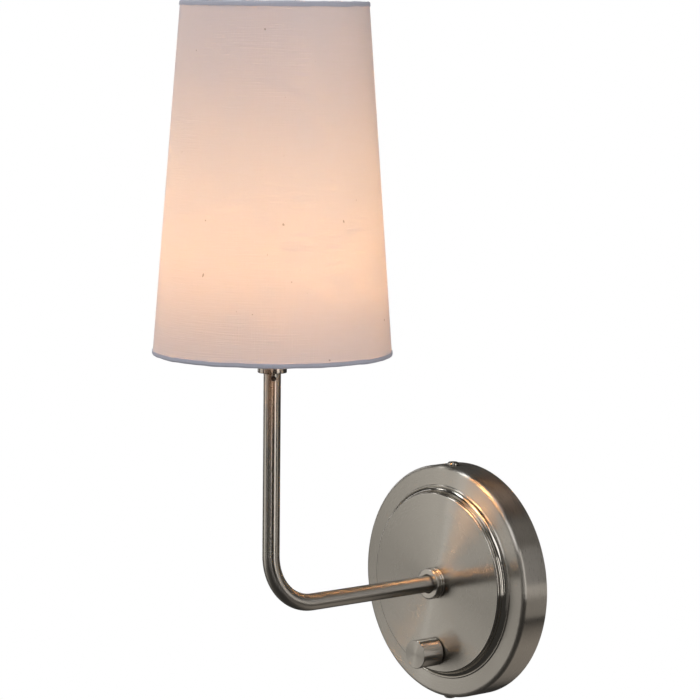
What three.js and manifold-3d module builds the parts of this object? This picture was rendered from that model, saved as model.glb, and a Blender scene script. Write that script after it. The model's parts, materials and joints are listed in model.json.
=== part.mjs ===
// A single-light wall sconce: a stepped round canopy with a rotary dimmer, a bent arm tube,
// a medium screw-base socket with its bulb, and a tapered drum shade on a three-spoke fitter.
//
// Units are millimetres. The wall is the plane y = 0, the room lies on -Y, and +Z is up.
// The origin is the middle of the bracket's back face, which is the canopy's axis.
// "out" always means the distance from the wall, so out = 20 is the plane y = -20.
import * as THREE from "three";
import { mergeVertices } from "three/addons/utils/BufferGeometryUtils.js";
import Module from "manifold-3d";

const wasm = await Module();
wasm.setup();

// ---------------------------------------------------------------- driving dimensions
const GAP = 0.3; // between faces that touch on the real lamp

const CANOPY_R = 75;
const CANOPY_SHEET = 1.2;
const FLANGE_OUT = 20.3; // front face of the outer flange
const DISC_OUT = 26.5; // front face of the raised centre
const DISC_R = 58;
const COVE_R = 61.2; // where the cove runs out on the flange
const RIM_FILLET = 3;
const DISC_FILLET = 0.9;

const BRACKET_HALF = 72.3;
const BRACKET_WIDTH = 22;
const BRACKET_SHEET = 2;
const BRACKET_TAB_OUT = 17.5;
const SIDE_SCREW_OUT = 12.5;
const SIDE_SCREW_R = 1.75;
const GROUND_Z = 21;
const BOX_SLOT_LOW = 35; // box screws sit 70 to 89 mm apart
const BOX_SLOT_HIGH = 44.5;
const BOX_SLOT_R = 2.3;

const TUBE_R = 5.3;
const TUBE_BORE_R = 4.3;
const ARM_REACH = 162.8; // from the wall to the upright's axis
const BEND_R = 33;
const TUBE_TOP_Z = 145.1;
const COLLAR_R = 10;
const COLLAR_LENGTH = 6.8;
const GRUB_Z = 142.3;
const GRUB_R = 1.6;
const GRUB_BEARING = 60; // degrees from straight out, towards +X

const NIPPLE_R = 4.1; // hollow threaded nipples hold the arm and the socket
const NIPPLE_BORE_R = 3;
const WIRE_R = 0.95;
const WIRE_OFFSET = 1.1; // wires run side by side

const KNOB_Z = -44.7;
const KNOB_R = 9.1;
const KNOB_FACE_OUT = 43.4;
const KNOB_BASE_OUT = 27.2;
const SHAFT_R = 3;
const DIMMER_THREAD_R = 4.7;
const DIMMER_BODY_R = 10.8;

const TOP_COLLAR_R = 8.9;
const SOCKET_Z = 150.7;
const SOCKET_CAP_TOP_Z = SOCKET_Z + 12;
const SOCKET_FLOOR_Z = SOCKET_Z + 16.2; // inside the cup
const SOCKET_FLANGE_Z = SOCKET_Z + 24; // the shade's fitter rests on this flange
const SOCKET_TOP_Z = SOCKET_Z + 50.2;
const SOCKET_THREAD_R = 19.2;

const BULB_SEAT_Z = SOCKET_Z + 21.6; // lowest point of the bulb's contact
const BULB_NECK_R = 11.9;
const BULB_GLASS = 0.9;

const SHADE_BASE_Z = 156.4;
const SHADE_TOP_Z = 369.6;
const SHADE_BASE_R = 73.1;
const SHADE_TOP_R = 57.2;
const SHADE_WALL = 0.9;
const SHADE_SIDES = 48; // the cloth, its hems and its ring wires share their facets
const HEM_CLOTH = 0.35;
const HEM_CLEARANCE = 0.2; // between a hem and what it wraps
const HEM_LEG = 2; // how far a hem reaches past its ring wire's middle
const RING_WIRE_R = 0.8;

// ---------------------------------------------------------------- materials
const finish = (color, roughness, metalness) => () =>
  new THREE.MeshStandardMaterial({ color, roughness, metalness });
const brushedNickel = finish(0x9c978c, 0.32, 1);
const zincSteel = finish(0xb4b7b8, 0.4, 1);
const blackSteel = finish(0x37363a, 0.45, 1);
const brass = finish(0xb8924a, 0.35, 1);
const aluminium = finish(0xc4c6c8, 0.35, 1);
const phenolic = finish(0x1c1a19, 0.45, 0);
const linen = finish(0xf1ece4, 0.9, 0);
const hemCloth = finish(0xc9ccd2, 0.85, 0);
const whiteEnamel = finish(0xe8e6e0, 0.35, 0);
const frostedGlass = finish(0xfff3dc, 0.5, 0);
const clearGlass = finish(0xdfe8e6, 0.1, 0);
const tungsten = finish(0xffb766, 0.4, 0.2);
const blackPlastic = finish(0x1a1a1b, 0.5, 0);
const whitePlastic = finish(0xe9e8e4, 0.5, 0);
const greenPlastic = finish(0x2f7d3c, 0.5, 0);
const orangePlastic = finish(0xd9742a, 0.5, 0);

// ---------------------------------------------------------------- shape helpers
const v2 = (x, y) => new THREE.Vector2(x, y);

// A point given as x, distance out from the wall, and height.
const at = (x, out, z) => new THREE.Vector3(x, -out, z);

// Points of an arc in a profile, between two angles in degrees.
function arc(cx, cy, r, from, to, steps) {
  const points = [];
  for (let i = 0; i <= steps; i++) {
    const angle = THREE.MathUtils.degToRad(from + ((to - from) * i) / steps);
    points.push(v2(cx + r * Math.cos(angle), cy + r * Math.sin(angle)));
  }
  return points;
}

// Twice the signed area of a closed outline: positive when it runs anticlockwise.
function signedArea(points) {
  let sum = 0;
  points.forEach((p, i) => {
    const q = points[(i + 1) % points.length];
    sum += p.x * q.y - q.x * p.y;
  });
  return sum;
}

// A closed outline of (radius, height) turned about the Y axis, with its faces pointing out.
// An outline that touches the axis does so along one straight side.
function turned(outline, segments) {
  const points = outline.map((p) => (p.isVector2 ? p.clone() : v2(...p)));
  if (signedArea(points) < 0) points.reverse();
  const count = points.length;
  const first = points.findIndex((p, i) => p.x === 0 && points[(i + count - 1) % count].x === 0);
  if (first < 0) points.push(points[0].clone());
  else points.push(...points.splice(0, first));
  return new THREE.LatheGeometry(points, segments);
}

// Turned about the vertical: heights run along +Z.
const upright = (outline, segments = 24) => turned(outline, segments).rotateX(Math.PI / 2);

// Turned about the wall's normal: heights are distances out from the wall.
const fromWall = (outline, segments = 24) => turned(outline, segments).rotateX(Math.PI);

// Moves a shape from the canopy's axis onto the upright of the arm, or onto the knob's axis.
const onUpright = (geometry) => geometry.translate(0, -ARM_REACH, 0);
const onKnobAxis = (geometry) => geometry.translate(0, 0, KNOB_Z);

// The outline of a plain ring, or of a disc when the inner radius is 0.
const ring = (inner, outer, low, high) => [
  [inner, low],
  [outer, low],
  [outer, high],
  [inner, high],
];

// A ring whose outer corners are broken by a small chamfer.
const chamferedRing = (inner, outer, low, high, chamfer) => [
  [inner, low],
  [outer - chamfer, low],
  [outer, low + chamfer],
  [outer, high - chamfer],
  [outer - chamfer, high],
  [inner, high],
];

// A hexagonal nut standing on z = 0.
function hexNut(acrossFlats, boreR, height) {
  const corner = acrossFlats / Math.sqrt(3);
  const shape = new THREE.Shape(arc(0, 0, corner, 0, 300, 5));
  const bore = new THREE.Path();
  bore.absarc(0, 0, boreR, 0, Math.PI * 2, true);
  shape.holes.push(bore);
  return new THREE.ExtrudeGeometry(shape, { depth: height, bevelEnabled: false, curveSegments: 9 });
}

// Straight runs joined by round bends, one radius for each inner corner. The parameter takes
// one step along each straight run and bendSteps round each bend, which keeps a sweep light.
class BentPath extends THREE.Curve {
  constructor(corners, radii, bendSteps) {
    super();
    this.stations = [corners[0]];
    radii.forEach((radius, i) => this.addBend(corners.slice(i, i + 3), radius, bendSteps));
    this.stations.push(corners[corners.length - 1]);
    this.steps = this.stations.length - 1;
  }
  addBend([previous, corner, next], radius, bendSteps) {
    const back = previous.clone().sub(corner).normalize();
    const ahead = next.clone().sub(corner).normalize();
    const half = back.angleTo(ahead) / 2;
    const inset = radius / Math.tan(half);
    const middle = back.clone().add(ahead).normalize();
    const centre = corner.clone().addScaledVector(middle, radius / Math.sin(half));
    const start = corner.clone().addScaledVector(back, inset).sub(centre);
    const end = corner.clone().addScaledVector(ahead, inset).sub(centre);
    const sweep = start.angleTo(end);
    for (let i = 0; i <= bendSteps; i++) {
      const a = Math.sin((1 - i / bendSteps) * sweep) / Math.sin(sweep);
      const b = Math.sin((i / bendSteps) * sweep) / Math.sin(sweep);
      this.stations.push(centre.clone().addScaledVector(start, a).addScaledVector(end, b));
    }
  }
  getPoint(t, target = new THREE.Vector3()) {
    const i = Math.min(Math.round(t * this.steps), this.steps);
    return target.copy(this.stations[i]);
  }
  getTangent(t, target = new THREE.Vector3()) {
    const i = Math.min(Math.round(t * this.steps), this.steps);
    const ahead = this.stations[Math.min(i + 1, this.steps)].clone().sub(this.stations[i]).normalize();
    const behind = this.stations[i].clone().sub(this.stations[Math.max(i - 1, 0)]).normalize();
    return target.copy(ahead).add(behind).normalize();
  }
  getUtoTmapping(u) {
    return u;
  }
}

// A round section swept along a bent path, hollow when a bore is given. It has 2 * half sides.
function sweepRound(path, r, half, boreR = 0) {
  const section = new THREE.Shape();
  section.absarc(0, 0, r, 0, Math.PI * 2, false);
  if (boreR > 0) {
    const bore = new THREE.Path();
    bore.absarc(0, 0, boreR, 0, Math.PI * 2, true);
    section.holes.push(bore);
  }
  return new THREE.ExtrudeGeometry(section, {
    steps: path.steps,
    extrudePath: path,
    curveSegments: half,
    bevelEnabled: false,
  });
}

// A round pin or cutter from one point to another.
function rod(from, to, r, sides = 16) {
  const direction = to.clone().sub(from);
  const along = new THREE.Vector3(0, 1, 0);
  const turn = new THREE.Quaternion().setFromUnitVectors(along, direction.clone().normalize());
  const middle = from.clone().add(to).multiplyScalar(0.5);
  return new THREE.CylinderGeometry(r, r, direction.length(), sides)
    .applyQuaternion(turn)
    .translate(middle.x, middle.y, middle.z);
}

// ---------------------------------------------------------------- cutting
function toSolid(geometry) {
  const flat = geometry.index ? geometry.toNonIndexed() : geometry.clone();
  flat.deleteAttribute("normal");
  flat.deleteAttribute("uv");
  const merged = mergeVertices(flat, 1e-3);
  const corners = merged.index.array;
  const kept = [];
  for (let i = 0; i < corners.length; i += 3) {
    const [a, b, c] = corners.subarray(i, i + 3);
    if (a !== b && b !== c && c !== a) kept.push(a, b, c);
  }
  const vertProperties = merged.attributes.position.array;
  const triVerts = new Uint32Array(kept);
  return new wasm.Manifold(new wasm.Mesh({ numProp: 3, vertProperties, triVerts }));
}

function toGeometry(solid) {
  const mesh = solid.getMesh();
  const geometry = new THREE.BufferGeometry();
  geometry.setAttribute("position", new THREE.BufferAttribute(mesh.vertProperties, mesh.numProp));
  geometry.setIndex(new THREE.BufferAttribute(mesh.triVerts, 1));
  geometry.computeVertexNormals();
  return geometry;
}

function cut(geometry, ...tools) {
  return toGeometry(tools.reduce((solid, tool) => solid.subtract(toSolid(tool)), toSolid(geometry)));
}

const sconce = new THREE.Group();

function add(name, geometry, material) {
  const mesh = new THREE.Mesh(geometry, material());
  mesh.name = name;
  sconce.add(mesh);
}

// ---------------------------------------------------------------- canopy and bracket
// The canopy's section from rim to middle, set back from its outer face by a depth.
function canopySkin(depth, boreR) {
  const edge = DISC_R - depth;
  const face = DISC_OUT - depth;
  const foot = FLANGE_OUT - depth;
  const rise = face - foot;
  return [
    v2(CANOPY_R - depth, 0),
    ...arc(CANOPY_R - RIM_FILLET, FLANGE_OUT - RIM_FILLET, RIM_FILLET - depth, 0, 90, 4),
    v2(COVE_R - depth * 0.6, foot),
    v2(edge + 1.9, foot + rise * 0.12),
    v2(edge + 0.7, foot + rise * 0.34),
    v2(edge, foot + rise * 0.62),
    v2(edge, face - DISC_FILLET),
    v2(edge - DISC_FILLET * 0.3, face - DISC_FILLET * 0.3),
    v2(edge - DISC_FILLET, face),
    v2(boreR, face),
  ];
}

function canopyShell() {
  const boreR = NIPPLE_R + GAP;
  const outline = [...canopySkin(0, boreR), ...canopySkin(CANOPY_SHEET, boreR).reverse()];
  const screwHoleR = SIDE_SCREW_R + GAP;
  return cut(
    fromWall(outline, 48),
    rod(at(0, DISC_OUT - 4, KNOB_Z), at(0, DISC_OUT + 1, KNOB_Z), DIMMER_THREAD_R + GAP, 20),
    rod(at(0, SIDE_SCREW_OUT, CANOPY_R - 4), at(0, SIDE_SCREW_OUT, CANOPY_R + 1), screwHoleR),
    rod(at(0, SIDE_SCREW_OUT, 4 - CANOPY_R), at(0, SIDE_SCREW_OUT, -CANOPY_R - 1), screwHoleR),
  );
}

// A capsule-shaped cutter through the bracket, along the wall's normal.
function slotCutter(low, high) {
  const shape = new THREE.Shape();
  shape.absarc(0, low, BOX_SLOT_R, Math.PI, Math.PI * 2, false);
  shape.absarc(0, high, BOX_SLOT_R, 0, Math.PI, false);
  const depth = 3 * BRACKET_SHEET;
  return new THREE.ExtrudeGeometry(shape, { depth, bevelEnabled: false, curveSegments: 4 })
    .rotateX(Math.PI / 2)
    .translate(0, BRACKET_SHEET, 0);
}

// A strap whose two ends bend forward into tabs that take the canopy's side screws.
function wallBracket() {
  const bendR = 3.4;
  const half = BRACKET_HALF;
  const innerR = bendR - BRACKET_SHEET;
  const shape = new THREE.Shape([
    v2(half, BRACKET_TAB_OUT),
    v2(half - BRACKET_SHEET, BRACKET_TAB_OUT),
    ...arc(half - bendR, bendR, innerR, 0, -90, 2),
    ...arc(bendR - half, bendR, innerR, 270, 180, 2),
    v2(BRACKET_SHEET - half, BRACKET_TAB_OUT),
    v2(-half, BRACKET_TAB_OUT),
    ...arc(bendR - half, bendR, bendR, 180, 270, 3),
    ...arc(half - bendR, bendR, bendR, -90, 0, 3),
  ]);
  const strap = new THREE.ExtrudeGeometry(shape, { depth: BRACKET_WIDTH, bevelEnabled: false });
  const heightAxis = new THREE.Vector3(0, 0, 1);
  const outAxis = new THREE.Vector3(0, -1, 0);
  const widthAxis = new THREE.Vector3(1, 0, 0);
  strap.translate(0, 0, -BRACKET_WIDTH / 2);
  strap.applyMatrix4(new THREE.Matrix4().makeBasis(heightAxis, outAxis, widthAxis));
  const tappedR = SIDE_SCREW_R + 0.2;
  return cut(
    strap,
    slotCutter(BOX_SLOT_LOW, BOX_SLOT_HIGH),
    slotCutter(-BOX_SLOT_HIGH, -BOX_SLOT_LOW),
    rod(at(0, -2, GROUND_Z), at(0, 4, GROUND_Z), tappedR),
    rod(at(0, SIDE_SCREW_OUT, half - 5), at(0, SIDE_SCREW_OUT, half + 2), tappedR),
    rod(at(0, SIDE_SCREW_OUT, 5 - half), at(0, SIDE_SCREW_OUT, -half - 2), tappedR),
  );
}

// A domed, slotted screw standing on its shank's tip at height low.
function panScrew(shankR, headR, low, under, top) {
  const outline = [
    [0, low],
    [shankR, low],
    [shankR, under],
    [headR, under],
    [headR, under + (top - under) * 0.4],
    [headR * 0.82, under + (top - under) * 0.82],
    [headR * 0.45, top],
    [0, top],
  ];
  const slotDepth = (top - under) * 0.45;
  const slot = new THREE.BoxGeometry(headR * 3, slotDepth * 2, 0.9).translate(0, top, 0);
  return cut(turned(outline, 18), slot);
}

function sideScrew() {
  const under = CANOPY_R + 0.2;
  const screw = panScrew(SIDE_SCREW_R, 3.75, BRACKET_HALF - 6, under, under + 1.9);
  return screw.rotateX(Math.PI / 2).translate(0, -SIDE_SCREW_OUT, 0);
}

add("canopy_shell", canopyShell(), brushedNickel);
add("wall_bracket", wallBracket(), zincSteel);
add("canopy_screw_top", sideScrew(), brushedNickel);
add("canopy_screw_bottom", sideScrew().rotateY(Math.PI), brushedNickel);
const groundScrew = panScrew(SIDE_SCREW_R, 4.2, GAP, BRACKET_SHEET + GAP, BRACKET_SHEET + GAP + 2.4);
add("ground_screw", groundScrew.rotateX(Math.PI).translate(0, 0, GROUND_Z), greenPlastic);

// ---------------------------------------------------------------- arm
const grubBearing = THREE.MathUtils.degToRad(GRUB_BEARING);
const grubAxis = new THREE.Vector3(Math.sin(grubBearing), -Math.cos(grubBearing), 0);

function armTube() {
  const start = at(0, DISC_OUT + GAP, 0);
  const corner = at(0, ARM_REACH, 0);
  const end = at(0, ARM_REACH, TUBE_TOP_Z);
  const path = new BentPath([start, corner, end], [BEND_R], 10);
  const tube = sweepRound(path, TUBE_R, 9, TUBE_BORE_R);
  const axis = at(0, ARM_REACH, GRUB_Z);
  return cut(tube, rod(axis, axis.clone().addScaledVector(grubAxis, TUBE_R + 2), GRUB_R + 0.15, 12));
}

// A headless screw through the tube's wall, just under the top collar, pins the nipple.
function tubeGrubScrew() {
  const axis = at(0, ARM_REACH, GRUB_Z);
  const inner = axis.clone().addScaledVector(grubAxis, NIPPLE_R + 0.15);
  const outer = axis.clone().addScaledVector(grubAxis, TUBE_R - 0.1);
  return rod(inner, outer, GRUB_R, 12);
}

add("arm_tube", armTube(), brushedNickel);
add("tube_grub_screw", tubeGrubScrew(), blackSteel);
const collarLow = DISC_OUT + GAP;
const wallCollar = chamferedRing(TUBE_R + 0.6, COLLAR_R, collarLow, collarLow + COLLAR_LENGTH, 0.8);
add("wall_collar", fromWall(wallCollar, 28), brushedNickel);

const sheetBack = DISC_OUT - CANOPY_SHEET;
const armNutOut = sheetBack - 2 * GAP - 0.8;
add("arm_nipple", fromWall(ring(NIPPLE_BORE_R, NIPPLE_R, 14, 44), 20), zincSteel);
const lockWasher = ring(NIPPLE_R + GAP, 7.5, sheetBack - GAP - 0.8, sheetBack - GAP);
add("arm_lock_washer", fromWall(lockWasher, 20), zincSteel);
const armNut = hexNut(13, NIPPLE_R + 0.2, 4).rotateX(Math.PI / 2);
add("arm_hex_nut", armNut.translate(0, 4 - armNutOut, 0), zincSteel);
const bushing = [
  [2.2, 11.6],
  [4.6, 11.6],
  [4.6, 13.7],
  [NIPPLE_BORE_R - 0.2, 13.7],
  [NIPPLE_BORE_R - 0.2, 17.5],
  [2.2, 17.5],
];
add("wire_bushing", fromWall(bushing, 16), blackPlastic);

// ---------------------------------------------------------------- dimmer and its knob
const dimmerFront = sheetBack - GAP;
const dimmerBody = [
  [0, 12],
  [DIMMER_BODY_R, 12],
  [DIMMER_BODY_R, dimmerFront - 2.4],
  [SHAFT_R + GAP, dimmerFront - 2.4],
  [SHAFT_R + GAP, 16.5],
  [0, 16.5],
];
add("dimmer_body", onKnobAxis(fromWall(dimmerBody, 24)), phenolic);
const threadEnd = 31.2;
const dimmerBushing = [
  [SHAFT_R + 0.2, dimmerFront - 2.1],
  [DIMMER_BODY_R - 1, dimmerFront - 2.1],
  [DIMMER_BODY_R - 1, dimmerFront],
  [DIMMER_THREAD_R, dimmerFront],
  [DIMMER_THREAD_R, threadEnd],
  [SHAFT_R + 0.2, threadEnd],
];
add("dimmer_bushing", onKnobAxis(fromWall(dimmerBushing, 24)), zincSteel);
const washerOut = DISC_OUT + GAP;
add("dimmer_washer", onKnobAxis(fromWall(ring(5, 7.2, washerOut, washerOut + 0.8), 20)), zincSteel);
const dimmerNut = hexNut(12, DIMMER_THREAD_R + 0.2, 2.2).rotateX(Math.PI / 2);
add("dimmer_nut", onKnobAxis(dimmerNut.translate(0, -washerOut - 0.8 - GAP, 0)), zincSteel);

// The shaft carries a flat for the knob's grub screw.
const shaftTip = 41;
const shaftFlat = new THREE.BoxGeometry(8, 9, 2).translate(0, -shaftTip + 3.5, -SHAFT_R - 0.4);
const shaft = cut(fromWall(ring(0, SHAFT_R, 16.8, shaftTip), 20), shaftFlat);
add("dimmer_shaft", onKnobAxis(shaft), aluminium);

const counterBoreR = 7.7;
const knobOutline = [
  [0, KNOB_FACE_OUT],
  [KNOB_R - 0.5, KNOB_FACE_OUT],
  [KNOB_R - 0.15, KNOB_FACE_OUT - 0.15],
  [KNOB_R, KNOB_FACE_OUT - 0.5],
  [KNOB_R, KNOB_BASE_OUT + 0.3],
  [KNOB_R - 0.3, KNOB_BASE_OUT],
  [counterBoreR, KNOB_BASE_OUT],
  [counterBoreR, threadEnd + 1],
  [SHAFT_R + 0.15, threadEnd + 1],
  [SHAFT_R + 0.15, shaftTip + GAP],
  [0, shaftTip + GAP],
];
const grubOut = 37.5;
const knobGrubHole = rod(at(0, grubOut, 0), at(0, grubOut, -KNOB_R - 1), 1.5, 12);
add("knob", onKnobAxis(cut(fromWall(knobOutline, 36), knobGrubHole)), brushedNickel);
const knobGrub = rod(at(0, grubOut, -SHAFT_R + 0.3), at(0, grubOut, -KNOB_R + 0.5), 1.25, 12);
add("knob_grub_screw", onKnobAxis(knobGrub), blackSteel);

// ---------------------------------------------------------------- socket
const topCollarLow = TUBE_TOP_Z + GAP;
const topCollar = chamferedRing(NIPPLE_R + GAP, TOP_COLLAR_R, topCollarLow, SOCKET_Z - GAP, 0.5);
add("top_collar", onUpright(upright(topCollar, 28)), brushedNickel);
const socketNipple = ring(NIPPLE_BORE_R, NIPPLE_R, TUBE_TOP_Z - 10, SOCKET_Z + 6);
add("socket_nipple", onUpright(upright(socketNipple, 20)), zincSteel);
const socketCap = [
  [NIPPLE_R + GAP, SOCKET_Z],
  [11.5, SOCKET_Z],
  [14.6, SOCKET_Z + 1.4],
  [15.8, SOCKET_Z + 4.5],
  [15.8, SOCKET_CAP_TOP_Z],
  [15, SOCKET_CAP_TOP_Z],
  [15, SOCKET_Z + 4.8],
  [14, SOCKET_Z + 2.2],
  [11.2, SOCKET_Z + 0.9],
  [NIPPLE_R + GAP, SOCKET_Z + 0.9],
];
add("socket_cap", onUpright(upright(socketCap, 28)), brushedNickel);
const socketNut = hexNut(12, NIPPLE_R + 0.2, 3).translate(0, 0, SOCKET_Z + 0.9 + GAP);
add("socket_nut", onUpright(socketNut), zincSteel);
const socketBottom = SOCKET_Z + 8.3;
const socketBody = [
  [0, socketBottom],
  [14.6, socketBottom],
  [14.6, SOCKET_CAP_TOP_Z + GAP],
  [17, SOCKET_CAP_TOP_Z + GAP],
  [17, SOCKET_FLANGE_Z - 2.8],
  [23, SOCKET_FLANGE_Z - 2.8],
  [23, SOCKET_FLANGE_Z],
  [SOCKET_THREAD_R, SOCKET_FLANGE_Z],
  [SOCKET_THREAD_R, SOCKET_TOP_Z],
  [14.3, SOCKET_TOP_Z],
  [14.3, SOCKET_FLOOR_Z],
  [0, SOCKET_FLOOR_Z],
];
add("socket_body", onUpright(upright(socketBody, 28)), phenolic);
const screwShell = ring(13.5, 13.95, SOCKET_FLOOR_Z + 4.3, SOCKET_TOP_Z - 3);
add("socket_screw_shell", onUpright(upright(screwShell, 24)), brass);
const centreContact = [
  [0, SOCKET_FLOOR_Z + GAP],
  [5, SOCKET_FLOOR_Z + GAP],
  [5, SOCKET_FLOOR_Z + 1.1],
  [2.4, SOCKET_FLOOR_Z + 1.4],
  [2.2, BULB_SEAT_Z - 0.8],
  [1.2, BULB_SEAT_Z - GAP],
  [0, BULB_SEAT_Z - GAP],
];
add("socket_centre_contact", onUpright(upright(centreContact, 14)), brass);

// ---------------------------------------------------------------- bulb
const bulbTip = [
  [0, BULB_SEAT_Z],
  [2.6, BULB_SEAT_Z],
  [4.4, BULB_SEAT_Z + 0.9],
  [4.4, BULB_SEAT_Z + 1.4],
  [0, BULB_SEAT_Z + 1.4],
];
add("bulb_tip", onUpright(upright(bulbTip, 16)), brass);
const insulatorLow = BULB_SEAT_Z + 1.7;
const insulator = [
  [0, insulatorLow],
  [5.2, insulatorLow],
  [11.3, insulatorLow + 2.8],
  [11.3, insulatorLow + 3.6],
  [0, insulatorLow + 3.6],
];
add("bulb_insulator", onUpright(upright(insulator, 20)), phenolic);

// The cap's thread is drawn as closed ridges, one for each turn.
function bulbCap() {
  const low = insulatorLow + 3.9;
  const pitch = 3.6;
  const wall = 0.4;
  const outer = [v2(11.8, low)];
  for (let turn = 0; turn < 5; turn++) {
    outer.push(v2(12.3, low + (turn + 0.15) * pitch), v2(13, low + (turn + 0.65) * pitch));
  }
  const top = SOCKET_TOP_Z - 1.6;
  outer.push(v2(12.6, top));
  const inner = outer.map((p) => v2(p.x - wall, p.y)).reverse();
  return upright([...outer, ...inner], 20);
}
add("bulb_cap", onUpright(bulbCap()), aluminium);

// A height above the bulb's seat.
const overSeat = (height) => BULB_SEAT_Z + height;

// The envelope is open at its neck, inside the cap.
function bulbGlass() {
  const profile = new THREE.SplineCurve([
    v2(BULB_NECK_R - 0.3, overSeat(20.6)),
    v2(BULB_NECK_R - 0.2, overSeat(25.6)),
    v2(13.2, overSeat(31.6)),
    v2(18, overSeat(41.6)),
    v2(22.6, overSeat(51.6)),
    v2(24, overSeat(61.6)),
    v2(21, overSeat(74.6)),
    v2(12, overSeat(83.6)),
    v2(0, overSeat(86.6)),
  ]);
  const count = 13;
  const outer = [];
  const inner = [];
  for (let i = 0; i <= count; i++) {
    const t = i / count;
    const p = profile.getPoint(t);
    const along = profile.getTangent(t);
    outer.push(i === count ? v2(0, p.y) : p);
    const set = v2(p.x - along.y * BULB_GLASS, p.y + along.x * BULB_GLASS);
    inner.push(i === count ? v2(0, p.y - BULB_GLASS) : set);
  }
  return upright([...outer, ...inner.reverse()], 24);
}
add("bulb_glass", onUpright(bulbGlass()), frostedGlass);
const stem = [
  [0, overSeat(22.1)],
  [9.6, overSeat(22.1)],
  [9.6, overSeat(23.1)],
  [3.8, overSeat(28.6)],
  [3, overSeat(42.6)],
  [1.2, overSeat(44.6)],
  [0, overSeat(44.6)],
];
add("bulb_stem", onUpright(upright(stem, 16)), clearGlass);
const filamentPath = new BentPath(
  [
    at(-2, ARM_REACH, overSeat(46.1)),
    at(-8, ARM_REACH, overSeat(56)),
    at(-4, ARM_REACH, overSeat(63)),
    at(0, ARM_REACH, overSeat(56)),
    at(4, ARM_REACH, overSeat(63)),
    at(8, ARM_REACH, overSeat(56)),
    at(2, ARM_REACH, overSeat(46.1)),
  ],
  [1.2, 1.2, 1.2, 1.2, 1.2],
  3,
);
add("bulb_filament", sweepRound(filamentPath, 0.4, 3), tungsten);

// ---------------------------------------------------------------- shade
const shadeR = (z) =>
  SHADE_BASE_R + ((SHADE_TOP_R - SHADE_BASE_R) * (z - SHADE_BASE_Z)) / (SHADE_TOP_Z - SHADE_BASE_Z);
const hemBore = RING_WIRE_R + HEM_CLEARANCE;
const hemBend = hemBore + HEM_CLOTH;
const baseWireZ = SHADE_BASE_Z + hemBend;
const topWireZ = SHADE_TOP_Z - hemBend;
const fabricLow = baseWireZ + hemBore;
const fabricHigh = topWireZ - hemBore;
const wireCentreR = (z) => shadeR(z) - hemBend;
const fabricR = (z) => shadeR(z) - HEM_CLOTH - HEM_CLEARANCE;

const fabric = [
  [fabricR(fabricLow) - SHADE_WALL, fabricLow],
  [fabricR(fabricLow), fabricLow],
  [fabricR(fabricHigh), fabricHigh],
  [fabricR(fabricHigh) - SHADE_WALL, fabricHigh],
];
add("shade_fabric", onUpright(upright(fabric, SHADE_SIDES)), linen);

// A rolled hem: a U of cloth round the ring wire, whose outer leg lies flush with the cone and
// whose inner leg closes on the back of the shade's fabric.
function hem(wireZ, side) {
  const centre = wireCentreR(wireZ);
  const legZ = wireZ + side * HEM_LEG;
  const legR = shadeR(legZ);
  const innerLegR = fabricR(legZ) - SHADE_WALL - HEM_CLEARANCE;
  const to = side > 0 ? -180 : 180;
  return [
    v2(legR, legZ),
    ...arc(centre, wireZ, hemBend, 0, to, 5),
    v2(innerLegR - HEM_CLOTH, legZ),
    v2(innerLegR, legZ),
    ...arc(centre, wireZ, hemBore, to, 0, 4),
    v2(legR - HEM_CLOTH, legZ),
  ];
}
add("shade_hem_bottom", onUpright(upright(hem(baseWireZ, 1), SHADE_SIDES)), hemCloth);
add("shade_hem_top", onUpright(upright(hem(topWireZ, -1), SHADE_SIDES)), hemCloth);
function ringWire(z) {
  const ringShape = new THREE.TorusGeometry(wireCentreR(z), RING_WIRE_R, 6, SHADE_SIDES);
  return ringShape.translate(0, 0, z);
}
add("shade_bottom_wire", onUpright(ringWire(baseWireZ)), whiteEnamel);
add("shade_top_wire", onUpright(ringWire(topWireZ)), whiteEnamel);

const fitterLow = SOCKET_FLANGE_Z + GAP;
const fitterHigh = fitterLow + 1.8;
const fitterR = 25;
const fitterRing = ring(SOCKET_THREAD_R + 0.5, fitterR, fitterLow, fitterHigh);
add("shade_fitter_ring", onUpright(upright(fitterRing, 28)), whiteEnamel);
for (let i = 0; i < 3; i++) {
  const spokeR = 1.5;
  const middleZ = (fitterLow + fitterHigh) / 2;
  const hemInnerR = wireCentreR(baseWireZ) - hemBend - GAP;
  const path = new BentPath(
    [
      new THREE.Vector3(fitterR + GAP, 0, middleZ),
      new THREE.Vector3(42, 0, middleZ),
      new THREE.Vector3(58, 0, baseWireZ),
      new THREE.Vector3(hemInnerR, 0, baseWireZ),
    ],
    [6, 6],
    3,
  );
  const spoke = sweepRound(path, spokeR, 4).rotateZ(Math.PI / 2 + (i * Math.PI * 2) / 3);
  add(`shade_spoke_${i + 1}`, onUpright(spoke), whiteEnamel);
}
const ringNut = chamferedRing(SOCKET_THREAD_R + GAP, 23.6, fitterHigh + GAP, fitterHigh + GAP + 5, 0.7);
add("shade_ring_nut", onUpright(upright(ringNut, 28)), phenolic);

// ---------------------------------------------------------------- wiring
const wire = (corners, radii) => sweepRound(new BentPath(corners, radii, 4), WIRE_R, 3);
const socketEnd = socketBottom - 0.7;
const rear = 12 - GAP; // just behind the dimmer's back
const trayOut = 8; // leads lie between the bracket and the dimmer

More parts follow.
